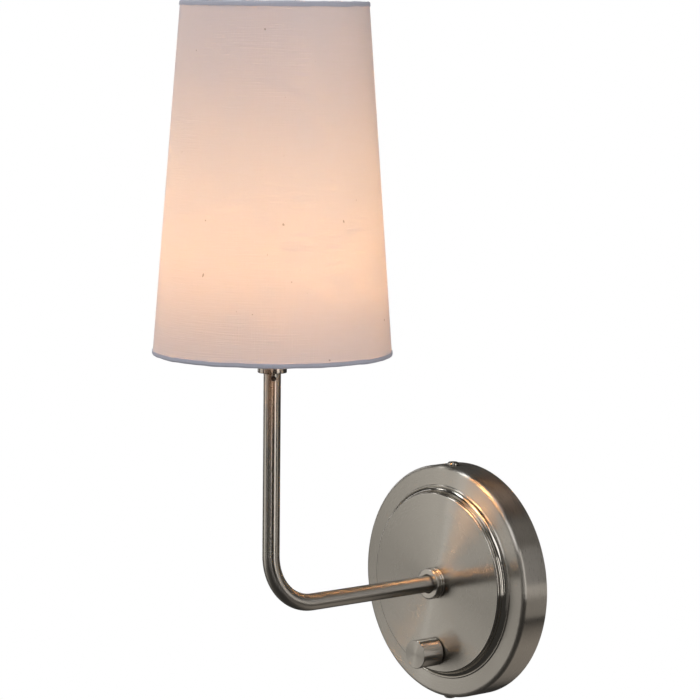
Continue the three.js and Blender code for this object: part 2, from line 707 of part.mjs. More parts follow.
const hotLead = [
  at(WIRE_OFFSET, ARM_REACH, socketEnd),
  at(WIRE_OFFSET, ARM_REACH, 0),
  at(WIRE_OFFSET, trayOut - 0.6, 0),
  at(-4, trayOut - 0.6, KNOB_Z + 3),
  at(-4, rear, KNOB_Z + 3),
];
add("lamp_wire_hot", wire(hotLead, [BEND_R, 2, 2]), blackPlastic);
const neutralLead = [
  at(-WIRE_OFFSET, ARM_REACH, socketEnd),
  at(-WIRE_OFFSET, ARM_REACH, 0),
  at(-WIRE_OFFSET, trayOut, 0),
  at(-34 + WIRE_OFFSET, trayOut, -3),
  at(-34 + WIRE_OFFSET, trayOut, 18),
];
add("lamp_wire_neutral", wire(neutralLead, [BEND_R, 2, 4]), whitePlastic);
const dimmerLead = [
  at(4, rear, KNOB_Z - 3),
  at(4, trayOut - 0.6, KNOB_Z - 3),
  at(34 - WIRE_OFFSET, trayOut, KNOB_Z - 3),
  at(34 - WIRE_OFFSET, trayOut, -12),
];
add("dimmer_lead", wire(dimmerLead, [2, 4]), blackPlastic);
const supply = (x, z, length) => [at(x, 0.6, z), at(x, trayOut, z), at(x, trayOut, z + length)];
add("supply_wire_hot", wire(supply(34 + WIRE_OFFSET, -40, 28), [3]), blackPlastic);
add("supply_wire_neutral", wire(supply(-34 - WIRE_OFFSET, -12, 30), [3]), whitePlastic);
add("supply_wire_ground", wire(supply(30 + WIRE_OFFSET, 12, 26), [3]), greenPlastic);
const groundLead = [
  at(4.6, 3.6, GROUND_Z),
  at(30 - WIRE_OFFSET, trayOut, GROUND_Z),
  at(30 - WIRE_OFFSET, trayOut, 38),
];
add("ground_wire", wire(groundLead, [4]), greenPlastic);

// A twist-on connector: a tapering cup that opens downwards over a pair of wire ends.
function wireNut(x, low) {
  const outline = [
    [3.3, low],
    [5.6, low],
    [5, low + 5],
    [3.4, low + 15],
    [2.4, low + 16.5],
    [0, low + 16.5],
    [0, low + 12],
    [3.3, low + 11],
  ];
  return upright(outline, 14).translate(x, -trayOut, 0);
}
add("wire_nut_hot", wireNut(34, -20), orangePlastic);
add("wire_nut_neutral", wireNut(-34, 10), orangePlastic);
add("wire_nut_ground", wireNut(30, 30), greenPlastic);

export default sconce;
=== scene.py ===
# %% [markdown]
# # A wall sconce with a bent arm and a drum shade
# The lamp is hard-wired to a wall. A spun metal canopy covers the wall box, a bent tube leaves
# its middle and rises, and a tapered fabric shade glows round one bulb. The hidden CAD model
# gives every size here. This script dresses it: finer meshes, real finishes, light and a camera.
#
# The first cell loads that model as a fixed frame. Its pieces are already in place, in metres,
# with the wall at y = 0, the room on -Y and +Z up, so nothing has to be fitted afterwards.

import json
import math

import bmesh
import bpy
from mathutils import Matrix, Vector


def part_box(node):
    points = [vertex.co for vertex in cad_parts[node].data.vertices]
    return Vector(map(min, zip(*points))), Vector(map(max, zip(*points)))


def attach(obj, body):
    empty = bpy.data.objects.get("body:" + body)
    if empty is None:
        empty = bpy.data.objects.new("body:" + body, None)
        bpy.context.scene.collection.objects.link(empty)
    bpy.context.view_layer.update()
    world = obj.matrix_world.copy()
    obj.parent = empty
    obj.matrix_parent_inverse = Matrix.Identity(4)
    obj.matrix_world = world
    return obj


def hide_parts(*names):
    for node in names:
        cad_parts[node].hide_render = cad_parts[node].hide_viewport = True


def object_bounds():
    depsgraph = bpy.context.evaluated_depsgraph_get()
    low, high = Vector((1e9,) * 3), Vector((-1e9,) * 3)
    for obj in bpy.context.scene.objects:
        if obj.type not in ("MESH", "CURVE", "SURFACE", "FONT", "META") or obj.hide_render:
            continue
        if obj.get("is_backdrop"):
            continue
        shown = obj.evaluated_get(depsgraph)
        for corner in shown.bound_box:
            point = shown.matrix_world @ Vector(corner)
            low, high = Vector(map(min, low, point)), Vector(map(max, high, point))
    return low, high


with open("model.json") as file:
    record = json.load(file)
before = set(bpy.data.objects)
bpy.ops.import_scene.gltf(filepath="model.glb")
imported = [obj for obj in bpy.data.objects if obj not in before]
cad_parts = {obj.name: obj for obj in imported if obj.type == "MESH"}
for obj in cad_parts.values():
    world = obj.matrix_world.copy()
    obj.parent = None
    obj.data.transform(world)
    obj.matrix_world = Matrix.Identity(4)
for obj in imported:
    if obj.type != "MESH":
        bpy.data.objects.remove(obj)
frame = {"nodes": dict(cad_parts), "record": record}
cad_low, cad_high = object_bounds()
MM = 0.001
MICRON = 0.000001

# %% [markdown]
# ## Where the main axes are
# Three lines organise the lamp: the canopy's axis, which is the origin's own Y line, the upright
# of the arm, which the shade and bulb share, and the knob's axis. They could be typed in again,
# but reading them from the frame's boxes keeps this script right if the design changes.

# %% Find the three axes


def middle(node):
    low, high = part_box(node)
    return (Vector(low) + Vector(high)) / 2


LAMP = "lamp"
KNOB = "dimmer_knob"
upright_y = middle("top_collar").y
knob_z = middle("knob").z
ON_WALL = Vector((0, 0, 0))
ON_UPRIGHT = Vector((0, upright_y, 0))
ON_KNOB = Vector((0, 0, knob_z))
print("upright stands at y =", round(upright_y, 4), "and the knob's axis at z =", round(knob_z, 4))

# %% [markdown]
# ## The camera
# A long lens from two metres away, to the right and in front, keeps the shade's sides
# straight and the round canopy a clean ellipse. A short lens close by would bulge both. The
# camera is built from its viewing angles, so they can be read and changed one at a time.

# %% Set up the camera
AZIMUTH = math.radians(49.272)
ELEVATION = math.radians(6.571)
ROLL = math.radians(0.57)
CAMERA_DISTANCE = 1.9549
AIM = Vector((-0.0152, -0.08765, 0.15264))
LENS = 160.68
SENSOR = 36

back = Vector(
    (
        math.sin(AZIMUTH) * math.cos(ELEVATION),
        -math.cos(AZIMUTH) * math.cos(ELEVATION),
        math.sin(ELEVATION),
    )
)
level = Vector((math.cos(AZIMUTH), math.sin(AZIMUTH), 0))
upward = back.cross(level)
right = level * math.cos(ROLL) + upward * math.sin(ROLL)
up = upward * math.cos(ROLL) - level * math.sin(ROLL)
camera = bpy.data.objects.new("camera", bpy.data.cameras.new("camera"))
bpy.context.scene.collection.objects.link(camera)
camera.data.sensor_width = SENSOR
camera.data.lens = LENS
camera.data.clip_start = 0.1
camera.data.clip_end = 50
turn_to_view = Matrix((right, up, back)).transposed().to_4x4()
camera.matrix_world = Matrix.Translation(AIM + back * CAMERA_DISTANCE) @ turn_to_view
bpy.context.scene.camera = camera
print("camera at", [round(v, 3) for v in camera.matrix_world.translation])

# %% [markdown]
# ## Profiles
# Nearly every piece of the lamp was made on a lathe or a spinning machine, so the script's main
# tool does the same: it turns a closed outline of (radius, height) points about an axis. Rounded
# corners come from arcs in the outline, at the true radius of the edge, which catches light the
# way a bevel on the real metal does.

# %% Outline helpers


def arc(centre_r, centre_h, radius, start, end, steps=8):
    """Points of an arc in an outline, between two angles in degrees."""
    points = []
    for i in range(steps + 1):
        angle = math.radians(start + (end - start) * i / steps)
        points.append((centre_r + radius * math.cos(angle), centre_h + radius * math.sin(angle)))
    return points


def area_of(outline):
    """Twice the signed area: positive when the outline runs anticlockwise."""
    total = 0
    for (r0, h0), (r1, h1) in zip(outline, outline[1:] + outline[:1]):
        total += r0 * h1 - r1 * h0
    return total


print("a quarter arc has", len(arc(0, 0, 1, 0, 90)), "points")

# %% [markdown]
# ## Turning an outline into a mesh
# A Screw modifier could turn the outline, but building the rings in code lets each face also get
# grain coordinates: U runs round the piece and V along the outline, both in metres. Brushed metal
# has its scratches along U, and a weave needs both, so every finish below can use real sizes.

# %% The lathe
AXIS_TURNS = {
    "out": Matrix.Rotation(math.pi / 2, 3, "X"),
    "up": Matrix.Identity(3),
    "down": Matrix.Rotation(math.pi, 3, "X"),
}
SHARP = 35  # degrees: an edge that turns more than this stays crisp


def smooth(mesh, sharp=SHARP):
    for polygon in mesh.polygons:
        polygon.use_smooth = True
    mesh.set_sharp_from_angle(angle=math.radians(sharp))


def add_mesh(name, mesh_builder, origin=ON_WALL, body=LAMP, sharp=SHARP):
    """Makes an object from a bmesh, smooth except at sharp edges, and rides it on a body."""
    mesh = bpy.data.meshes.new(name)
    bmesh.ops.recalc_face_normals(mesh_builder, faces=mesh_builder.faces)
    mesh_builder.to_mesh(mesh)
    mesh_builder.free()
    smooth(mesh, sharp)
    piece = bpy.data.objects.new(name, mesh)
    piece.location = origin
    bpy.context.scene.collection.objects.link(piece)
    bpy.context.view_layer.update()
    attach(piece, body)
    return piece


def lengths_along(outline):
    """How far along the outline each point is, with the whole way round last."""
    lengths = [0.0]
    for (r0, h0), (r1, h1) in zip(outline, outline[1:] + outline[:1]):
        lengths.append(lengths[-1] + math.hypot(r1 - r0, h1 - h0))
    return lengths


def spin(
    name, outline, origin=ON_WALL, axis="out", sides=96, body=LAMP, sharp=SHARP, closed=True
):
    """Turns an outline of (radius, height) points, in millimetres, about an axis."""
    if closed and area_of(outline) < 0:
        outline = outline[::-1]
    pairs = zip(outline, outline[1:] + outline[:1])
    outline = [here for here, after in pairs if math.dist(here, after) > MICRON / MM]
    turned = AXIS_TURNS[axis]
    build = bmesh.new()
    grain = build.loops.layers.uv.new("grain")
    rings = []
    for r, h in outline:
        count = sides if r > 1e-6 else 1
        ring = []
        for i in range(count):
            angle = 2 * math.pi * i / sides
            place = Vector((r * math.cos(angle), r * math.sin(angle), h)) * MM
            ring.append(build.verts.new(turned @ place))
        rings.append(ring)
    lengths = lengths_along(outline)
    girth = 2 * math.pi * max(r for r, h in outline) * MM
    last = len(outline) if closed else len(outline) - 1
    for k in range(last):
        low, high = rings[k], rings[(k + 1) % len(rings)]
        if len(low) == 1 and len(high) == 1:
            continue
        for i in range(sides):
            j = (i + 1) % sides
            corners = []
            for ring, at, along in ((low, i, 0), (low, j, 0), (high, j, 1), (high, i, 1)):
                vert = ring[at] if len(ring) > 1 else ring[0]
                turn = i + 1 if at == j else i
                spot = (girth * turn / sides, lengths[k + along] * MM)
                if all(vert is not seen for seen, _ in corners):
                    corners.append((vert, spot))
            face = build.faces.new([vert for vert, _ in corners])
            for loop, (_, spot) in zip(face.loops, corners):
                loop[grain].uv = spot
    return add_mesh(name, build, origin, body, sharp)


print("lathe ready: U round the piece and V along its outline, in metres")

# %% [markdown]
# ## Sweeping along a path
# Tubes and wires follow a path of straight runs joined by round bends, which is how a tube bender
# makes them. A bevelled curve object would be quicker, but its ends, bore and grain coordinates
# are awkward to control, so this sweep carries one ring of points along the path itself.

# %% The tube bender


def bent_path(corners, radii, bend_steps=24):
    """Straight runs joined by round bends, with one radius in mm for each inner corner."""
    points = [Vector(corners[0])]
    for i, radius in enumerate(radii):
        corner = Vector(corners[i + 1])
        behind = (Vector(corners[i]) - corner).normalized()
        ahead = (Vector(corners[i + 2]) - corner).normalized()
        half = behind.angle(ahead) / 2
        centre = corner + (behind + ahead).normalized() * (radius / math.sin(half))
        start = corner + behind * (radius / math.tan(half)) - centre
        end = corner + ahead * (radius / math.tan(half)) - centre
        sweep_angle = start.angle(end)
        for k in range(bend_steps + 1):
            a = math.sin((1 - k / bend_steps) * sweep_angle) / math.sin(sweep_angle)
            b = math.sin(k / bend_steps * sweep_angle) / math.sin(sweep_angle)
            points.append(centre + start * a + end * b)
    points.append(Vector(corners[-1]))
    return points


def frames_along(points, first_side):
    """A side direction at each point that turns with the path and never twists about it."""
    sides = [first_side]
    for before, here, after in zip(points, points[1:], points[2:] + [None]):
        along = (here - before).normalized()
        if after is not None:
            along = (along + (after - here).normalized()).normalized()
        side = sides[-1] - along * sides[-1].dot(along)
        sides.append(side.normalized())
    return sides


def sweep(name, points, radius, sides=24, bore=0, first_side=Vector((1, 0, 0))):
    """A round rod or tube, in millimetres, along a path of points."""
    points = [Vector(point) for point in points]
    build = bmesh.new()
    grain = build.loops.layers.uv.new("grain")
    side_at = frames_along(points, first_side)
    walls = []
    for r in [radius] + ([bore] if bore else []):
        rings = []
        for k, point in enumerate(points):
            before = points[max(k - 1, 0)]
            after = points[min(k + 1, len(points) - 1)]
            across = (after - before).normalized().cross(side_at[k])
            ring = []
            for i in range(sides):
                angle = 2 * math.pi * i / sides
                offset = side_at[k] * math.cos(angle) + across * math.sin(angle)
                ring.append(build.verts.new((point + offset * r) * MM))
            rings.append(ring)
        walls.append(rings)
    travelled = [0.0]
    for before, after in zip(points, points[1:]):
        travelled.append(travelled[-1] + (after - before).length * MM)
    girth = 2 * math.pi * radius * MM
    for rings in walls:
        for k in range(len(points) - 1):
            for i in range(sides):
                j = (i + 1) % sides
                here, following = rings[k], rings[k + 1]
                face = build.faces.new((here[i], here[j], following[j], following[i]))
                spots = ((i, k), (i + 1, k), (i + 1, k + 1), (i, k + 1))
                for loop, (turn, step) in zip(face.loops, spots):
                    loop[grain].uv = (girth * turn / sides, travelled[step])
    for end in (0, -1):
        if bore:
            for i in range(sides):
                j = (i + 1) % sides
                outer, inner = walls[0][end], walls[1][end]
                build.faces.new((outer[i], outer[j], inner[j], inner[i]))
        else:
            build.faces.new(walls[0][end])
    return add_mesh(name, build)


print("tube bender ready")

# %% [markdown]
# ## Cutting holes and slots
# Screw slots, drilled holes and box-screw slots are cut from finished pieces with a Boolean, as a
# drill or mill would. The result is stored in the mesh at once, so no cutter is left in the scene.

# %% The mill


def apply_modifiers(piece):
    evaluated = piece.evaluated_get(bpy.context.evaluated_depsgraph_get())
    made = bpy.data.meshes.new_from_object(evaluated)
    piece.modifiers.clear()
    piece.data = made


def weld(mesh):
    """Joins corners that a cut left in the same place, so that no face is a sliver."""
    build = bmesh.new()
    build.from_mesh(mesh)
    bmesh.ops.remove_doubles(build, verts=build.verts, dist=MICRON)
    build.to_mesh(mesh)
    build.free()


def cut(piece, cutter):
    bpy.context.view_layer.update()
    boolean = piece.modifiers.new("cut", "BOOLEAN")
    boolean.operation = "DIFFERENCE"
    boolean.solver = "EXACT"
    boolean.object = cutter
    bpy.context.view_layer.update()
    apply_modifiers(piece)
    weld(piece.data)
    smooth(piece.data)
    bpy.data.objects.remove(cutter)


def block(size, centre):
    """A square-cornered cutter, in millimetres."""
    build = bmesh.new()
    bmesh.ops.create_cube(build, size=1)
    bmesh.ops.scale(build, vec=Vector(size) * MM, verts=build.verts)
    bmesh.ops.translate(build, vec=Vector(centre) * MM, verts=build.verts)
    return add_mesh("cutter", build)


print("mill ready")

# %% [markdown]
# ## Finishes from nodes
# Each finish is a small node tree. Two helpers keep them short: one adds a node with its settings,
# the other starts a material with a Principled shader. Plain numbers go straight on the shader.

# %% Material helpers


def node(tree, kind, **values):
    """Adds a node. Names in capitals or with spaces set inputs; the others set properties."""
    made = tree.nodes.new(kind)
    for key, value in values.items():
        if key[0].isupper():
            made.inputs[key.replace("_", " ")].default_value = value
        else:
            setattr(made, key, value)
    return made


def start_finish(name, colour, roughness, metallic=0.0):
    finish = bpy.data.materials.new(name)
    finish.use_nodes = True
    tree = finish.node_tree
    shader = tree.nodes["Principled BSDF"]
    shader.inputs["Base Color"].default_value = (*colour, 1)
    shader.inputs["Roughness"].default_value = roughness
    shader.inputs["Metallic"].default_value = metallic
    return finish, tree, shader


def stretched_noise(tree, source, scale, detail=2.0):
    """Noise whose cells are 1/scale metres long each way, from a coordinate output."""
    mapping = node(tree, "ShaderNodeMapping", Scale=scale)
    noise = node(tree, "ShaderNodeTexNoise", Scale=1.0, Detail=detail)
    tree.links.new(source, mapping.inputs["Vector"])
    tree.links.new(mapping.outputs["Vector"], noise.inputs["Vector"])
    return noise.outputs["Fac"]


def place_noise(tree, size, detail=2.0):
    """Noise with no direction, in the piece's own space, for cast, moulded and dipped surfaces."""
    spot = node(tree, "ShaderNodeTexCoord").outputs["Object"]
    return stretched_noise(tree, spot, (size, size, size), detail)


def height_on(tree):
    """How high each point of the surface stands, in metres."""
    spot = node(tree, "ShaderNodeTexCoord").outputs["Object"]
    split = node(tree, "ShaderNodeSeparateXYZ")
    tree.links.new(spot, split.inputs["Vector"])
    return split.outputs["Z"]


def remap(tree, source, low, high, to_low, to_high):
    ranged = node(tree, "ShaderNodeMapRange")
    ranged.inputs["From Min"].default_value = low
    ranged.inputs["From Max"].default_value = high
    ranged.inputs["To Min"].default_value = to_low
    ranged.inputs["To Max"].default_value = to_high
    tree.links.new(source, ranged.inputs["Value"])
    return ranged.outputs["Result"]


def roughen(tree, shader, noise, low, high):
    """Lets a noise, which mostly lies between 0.3 and 0.7, vary the roughness."""
    tree.links.new(remap(tree, noise, 0.3, 0.7, low, high), shader.inputs["Roughness"])


def bump(tree, shader, height, distance, strength):
    bumped = node(tree, "ShaderNodeBump", Strength=strength, Distance=distance)
    tree.links.new(height, bumped.inputs["Height"])
    tree.links.new(bumped.outputs["Normal"], shader.inputs["Normal"])


def blend_colours(tree, factor, first, second):
    mix = node(tree, "ShaderNodeMix", data_type="RGBA")
    mix.inputs["A"].default_value = (*first, 1)
    mix.inputs["B"].default_value = (*second, 1)
    tree.links.new(factor, mix.inputs["Factor"])
    return mix.outputs["Result"]


def lay_over(tree, factor, under, colour):
    """Lays one plain colour over what a node gives, by a factor."""
    mix = node(tree, "ShaderNodeMix", data_type="RGBA")
    mix.inputs["B"].default_value = (*colour, 1)
    tree.links.new(factor, mix.inputs["Factor"])
    tree.links.new(under, mix.inputs["A"])
    return mix.outputs["Result"]


def shaded(colour, share):
    return tuple(c * share for c in colour)


def wear(piece, finish):
    """Puts one finish on a piece."""
    piece.data.materials.clear()
    piece.data.materials.append(finish)


print("material helpers ready")

# %% [markdown]
# ## Brushed nickel
# The plate is nickel over metal that was spun and then rubbed with a fine abrasive while it
# turned, so its scratches run round every piece. Light reflected across the scratches spreads
# and light along them stays sharp. That is what the shader's anisotropy does: it is turned a
# quarter turn here because it stretches highlights along the grain's U direction and a scratch
# stretches them across. Long thin noise adds the scratches one can see. Five finishes come from
# the one recipe, and the arm's level run is a little duller than its upright.

# %% Make brushed nickel
NICKEL = (0.51, 0.478, 0.428)
SCRATCHES = (150, 6500, 1)  # across and along the outline, per metre
CLOUDS = (14, 90, 1)
RUN_HEIGHTS = (0.05, 0.015)  # from the upright down to the level run, in metres


def nickel(name, roughness, anisotropy, scratch, patchiness, rubbed_low=0.0):
    finish, tree, shader = start_finish(name, NICKEL, roughness, metallic=1.0)
    shader.inputs["Anisotropic"].default_value = anisotropy
    shader.inputs["Anisotropic Rotation"].default_value = 0.25
    grain = node(tree, "ShaderNodeUVMap", uv_map="grain").outputs["UV"]
    tangent = node(tree, "ShaderNodeTangent", direction_type="UV_MAP", uv_map="grain")
    tree.links.new(tangent.outputs["Tangent"], shader.inputs["Tangent"])
    scratches = stretched_noise(tree, grain, SCRATCHES, detail=3)
    cloudy = stretched_noise(tree, grain, CLOUDS)
    mottled = node(tree, "ShaderNodeMath", operation="MULTIPLY_ADD")
    mottled.inputs[1].default_value = 0.4
    tree.links.new(cloudy, mottled.inputs[0])
    tree.links.new(scratches, mottled.inputs[2])
    low, high = roughness - patchiness, roughness + patchiness
    rough = remap(tree, mottled.outputs[0], 0.45, 0.95, low, high)
    if rubbed_low:
        total = node(tree, "ShaderNodeMath", operation="ADD")
        tree.links.new(rough, total.inputs[0])
        tree.links.new(remap(tree, height_on(tree), *RUN_HEIGHTS, 0.0, rubbed_low), total.inputs[1])
        rough = total.outputs[0]
    tree.links.new(rough, shader.inputs["Roughness"])
    tint = blend_colours(tree, cloudy, shaded(NICKEL, 0.94), shaded(NICKEL, 1.05))
    tree.links.new(tint, shader.inputs["Base Color"])
    bump(tree, shader, scratches, scratch, 0.3)
    return finish


spun_nickel = nickel("spun_nickel", 0.285, 0.98, 0.0000001, 0.02)
tube_nickel = nickel("tube_nickel", 0.235, 0.97, 0.0000003, 0.012, rubbed_low=0.08)
bright_nickel = nickel("bright_nickel", 0.22, 0.95, 0.000001, 0.03)
knob_nickel = nickel("knob_nickel", 0.3, 0.97, 0.000001, 0.02)
polished_nickel = nickel("polished_nickel", 0.13, 0.8, 0.0000005, 0.03)
print("five nickel finishes, from satin to polished")

# %% [markdown]
# ## The canopy
# A disc of sheet metal was pressed over a form: side wall, flat flange, a cove that climbs to a
# raised disc, and a small rounded lip. The outline below follows the sheet out and back along its
# inner face, so the pressed shape also shows from behind, as it does on the real one. The cove is
# polished and the rest is satin, so its faces get a second material.

# %% Spin the canopy
CANOPY_R = 75
SHEET = 1.2
FLANGE = 20.3
DISC = 26.5
BORE_R = 4.4
SHAFT_HOLE_R = 5
SCREW_HOLE_R = 2.05
COVE_IN, COVE_OUT = 56.4, 62.3
SIDE_SCREW_Y = -12.5 * MM

outside = [(CANOPY_R, 0), *arc(72, FLANGE - 3, 3, 0, 90, 12), (62.6, FLANGE)]
outside += arc(61.7, FLANGE + 0.1, 0.75, 60, 150, 6)
outside += arc(61.6, DISC - 2.6, 3.1, 246, 184, 12)
outside += [(58.35, DISC - 2.25), (58.05, DISC - 1.9), *arc(57.0, DISC - 1, 1, 0, 90, 8)]
outside += [(20, DISC), (BORE_R, DISC)]
inside = [(BORE_R, DISC - SHEET), (55.9, DISC - SHEET), (56.8, DISC - 1.9)]
inside += [(57.3, DISC - 4.2), (60.2, FLANGE - 1.1)]
inside += [*arc(72, FLANGE - 3, 1.8, 90, 0, 6), (CANOPY_R - SHEET, 0)]
canopy = spin("canopy", outside + inside, sides=192)


def drill(piece, radius, low, high, origin, axis, sides):
    """Drills a round hole through a piece, from one height to another on an axis."""
    bit = [(0, low), (radius, low), (radius, high), (0, high)]
    cut(piece, spin("cutter", bit, origin, axis, sides))


drill(canopy, SHAFT_HOLE_R, 20, 30, ON_KNOB, "out", 48)
for axis in ("up", "down"):
    drill(canopy, SCREW_HOLE_R, 70, 80, Vector((0, SIDE_SCREW_Y, 0)), axis, 24)
wear(canopy, spun_nickel)
canopy.data.materials.append(polished_nickel)
for polygon in canopy.data.polygons:
    centre = polygon.center / MM
    if COVE_IN < math.hypot(centre.x, centre.z) < COVE_OUT and centre.y < 1 - FLANGE:
        polygon.material_index = 1
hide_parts("canopy_shell")
print("canopy has", len(canopy.data.polygons), "faces")

# %% [markdown]
# ## Screws in the canopy's edge
# Two short screws, one at the top and one at the bottom of the side wall, pin the canopy to the
# bracket behind it. Each is turned with a domed head and then slotted.

# %% Turn the canopy screws
SLOT = 0.9


def pan_screw(name, shank, head, low, under, top, origin, axis):
    rise = top - under
    outline = [(0, low), (shank * 0.7, low), (shank, low + 0.6), (shank, under), (head, under)]
    outline += [(head, under + rise * 0.35), (head * 0.93, under + rise * 0.66)]
    outline += [(head * 0.76, under + rise * 0.88), (head * 0.45, under + rise * 0.98), (0, top)]
    screw = spin(name, outline, origin, axis, sides=48)
    tip = AXIS_TURNS[axis] @ Vector((0, 0, top))
    size = (SLOT, rise * 0.9, 12) if axis == "out" else (12, SLOT, rise * 0.9)
    cut(screw, block(size, tip + Vector(origin) / MM))
    return screw


for name, axis in (("canopy_screw_high", "up"), ("canopy_screw_low", "down")):
    screw = pan_screw(name, 1.75, 3.75, 66.3, 75.2, 77.1, Vector((0, SIDE_SCREW_Y, 0)), axis)
    wear(screw, bright_nickel)
    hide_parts("canopy_screw_top" if axis == "up" else "canopy_screw_bottom")
print("two slotted screws")

# %% [markdown]
# ## The arm
# One length of 10.6 mm tube leaves the wall level, bends once and rises to the shade. The bend's
# centre line has a 33 mm radius, about three tube widths, which is as tight as such a tube bends
# without folding. A small hole near the top takes the set screw that pins the socket's nipple.

# %% Bend the arm tube
TUBE_R = 5.3
TUBE_BORE = 4.3
BEND_R = 33
arm_y = upright_y / MM
tube_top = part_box("arm_tube")[1][2] / MM
arm_start = -DISC - 0.3
arm_corners = [(0, arm_start, 0), (0, arm_y, 0), (0, arm_y, tube_top)]
arm_path = bent_path(arm_corners, [BEND_R], bend_steps=40)
arm = sweep("arm", arm_path, TUBE_R, sides=64, bore=TUBE_BORE)
bearing = math.radians(60)
facing = Vector((math.sin(bearing), -math.cos(bearing), 0))
hole_centre = Vector((0, arm_y, tube_top - 2.8))


def across_tube(name, start, end, radius, sides=24):
    """A short rod from the tube's centre line out through its wall, on the set screw's bearing."""
    line = [hole_centre + facing * start, hole_centre + facing * end]
    return sweep(name, line, radius, sides, first_side=Vector((0, 0, 1)))


cut(arm, across_tube("cutter", 0, 8, 1.75))
wear(arm, tube_nickel)
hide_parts("arm_tube")

set_screw = across_tube("arm_set_screw", 4.25, 5.2, 1.6)
cut(set_screw, across_tube("cutter", 4.6, 6, 0.9, sides=6))
print("arm path has", len(arm_path), "points; it rises to z =", round(tube_top, 1), "mm")

# %% [markdown]
# ## Black oxide
# Set screws are hardened steel with a thin black oxide, which is why this one reads as a small
# dark spot. The finish is dark, slightly rough metal with a little speckle.

# %% Make black oxide
black_oxide, tree, shader = start_finish("black_oxide", (0.03, 0.029, 0.028), 0.42, metallic=0.8)
speckle = place_noise(tree, 2500)
roughen(tree, shader, speckle, 0.34, 0.52)
bump(tree, shader, speckle, 0.00002, 0.4)
wear(set_screw, black_oxide)
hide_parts("tube_grub_screw")
print("set screw finished")

# %% [markdown]
# ## Collars
# The wall collar hides the hole where the tube enters the canopy. It is chamfered, grooved near
# the disc, and wide enough to leave a dark line round the tube. The upper collar is the seat that
# the socket stands on. Small edge radii matter here: at this size they are the highlights.

# %% Turn the collars
seat_out = DISC + 0.3
wall_collar_outline = [
    (5.9, seat_out),
    *arc(9.7, seat_out + 0.3, 0.3, -90, 0, 4),
    (10, seat_out + 1.2),
    *arc(10.1, seat_out + 1.65, 0.42, 240, 120, 6)[1:-1],
    (10, seat_out + 2.1),
    (10, seat_out + 3),
    *arc(10.1, seat_out + 3.45, 0.42, 240, 120, 6)[1:-1],
    (10, seat_out + 3.9),
    *arc(9.2, seat_out + 6, 0.8, 0, 60, 6),
    (8.9, seat_out + 6.8),
    (6.3, seat_out + 6.8),
    (5.9, seat_out + 6.4),
]
wall_collar = spin("collar_at_wall", wall_collar_outline, sides=96)
wear(wall_collar, bright_nickel)
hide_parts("wall_collar")



def heights_of(cad_node):
    """The lowest and highest points of a node, in mm."""
    return (corner[2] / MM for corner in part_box(cad_node))


low, high = heights_of("top_collar")
seat_outline = [(4.4, low), *arc(8.4, low + 0.5, 0.5, -90, 0, 5)]
seat_outline += [*arc(8.3, high - 0.6, 0.6, 0, 90, 5), (4.4, high)]
seat = spin("collar_at_socket", seat_outline, ON_UPRIGHT, "up")
wear(seat, bright_nickel)
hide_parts("top_collar")
print("collars 20 mm and 18 mm across")

# %% [markdown]
# ## The knob
# A plain turned cylinder grips the dimmer's shaft. Its end is faced off flat with a tiny edge
# break. Its scratches run round the barrel and in rings on the end, so the two catch the light
# differently. It rides on the turning body, so it turns with the shaft when the joint moves.

# %% Turn the knob
KNOB_FACE = 43.4
KNOB_BASE = 27.2
knob_outline = [
    (0, KNOB_FACE),
    (8.55, KNOB_FACE),
    *arc(8.65, KNOB_FACE - 0.45, 0.45, 90, 0, 6),
    (9.1, KNOB_BASE + 0.5),
    *arc(8.8, KNOB_BASE + 0.3, 0.3, 0, -90, 4),
    (7.7, KNOB_BASE),
    (7.7, 32.2),
    (3.15, 32.2),
    (3.15, 41.3),
    (0, 41.3),
]
knob = spin("knob_cap", knob_outline, ON_KNOB, sides=128, body=KNOB)
grub_hole = [(0, -37.5, knob_z / MM - 3), (0, -37.5, knob_z / MM - 12)]
cut(knob, sweep("cutter", grub_hole, 1.5))
wear(knob, knob_nickel)
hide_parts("knob")
print("knob centre at z =", round(knob_z, 4))

# %% [markdown]
# ## The shade's shape
# The shade is a cone frustum of plain-woven cloth on a stiff liner, stretched between two wire
# rings. As cloth it is one sheet, so it is modelled as one: a single skin that light can pass
# through. Opened flat it is part of a ring, and its size comes from the cone's slant height and
# from the distance to the cone's apex.

# %% Spin the shade's single skin
fabric_low, fabric_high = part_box("shade_fabric")
shade_floor, shade_ceiling = fabric_low[2] / MM, fabric_high[2] / MM
base_radius = (fabric_high[0] - fabric_low[0]) / 2 / MM
TAPER = (73.1 - 57.2) / (369.6 - 156.4)


def shade_radius(height):
    return base_radius - TAPER * (height - shade_floor)


ROWS = 60
shade_line = []
for k in range(ROWS + 1):
    height = shade_floor + (shade_ceiling - shade_floor) * k / ROWS
    shade_line.append((shade_radius(height), height))
shade = spin("shade_cloth", shade_line, ON_UPRIGHT, "up", sides=160, closed=False)

# %% [markdown]
# ## Plain-woven cloth, lit from behind
# Thin cloth sends some light back and lets some through, which no single Principled setting does
# well, so a Principled shader for the surface is mixed with a Translucent one. Slubs, the thicker
# places in a hand-spun thread, run round the shade: they let less light through and stand up a
# little. A fine square weave and a few dark flecks of husk finish the cloth.

# %% Make the shade cloth
WEFT = (46, 1250, 1)
WARP = (1250, 60, 1)
FLECKS = (210, 150, 1)
WEAVE = (640, 640, 1)
HUSK = (0.16, 0.1, 0.06)
HUSK_LIT = (0.12, 0.06, 0.03)


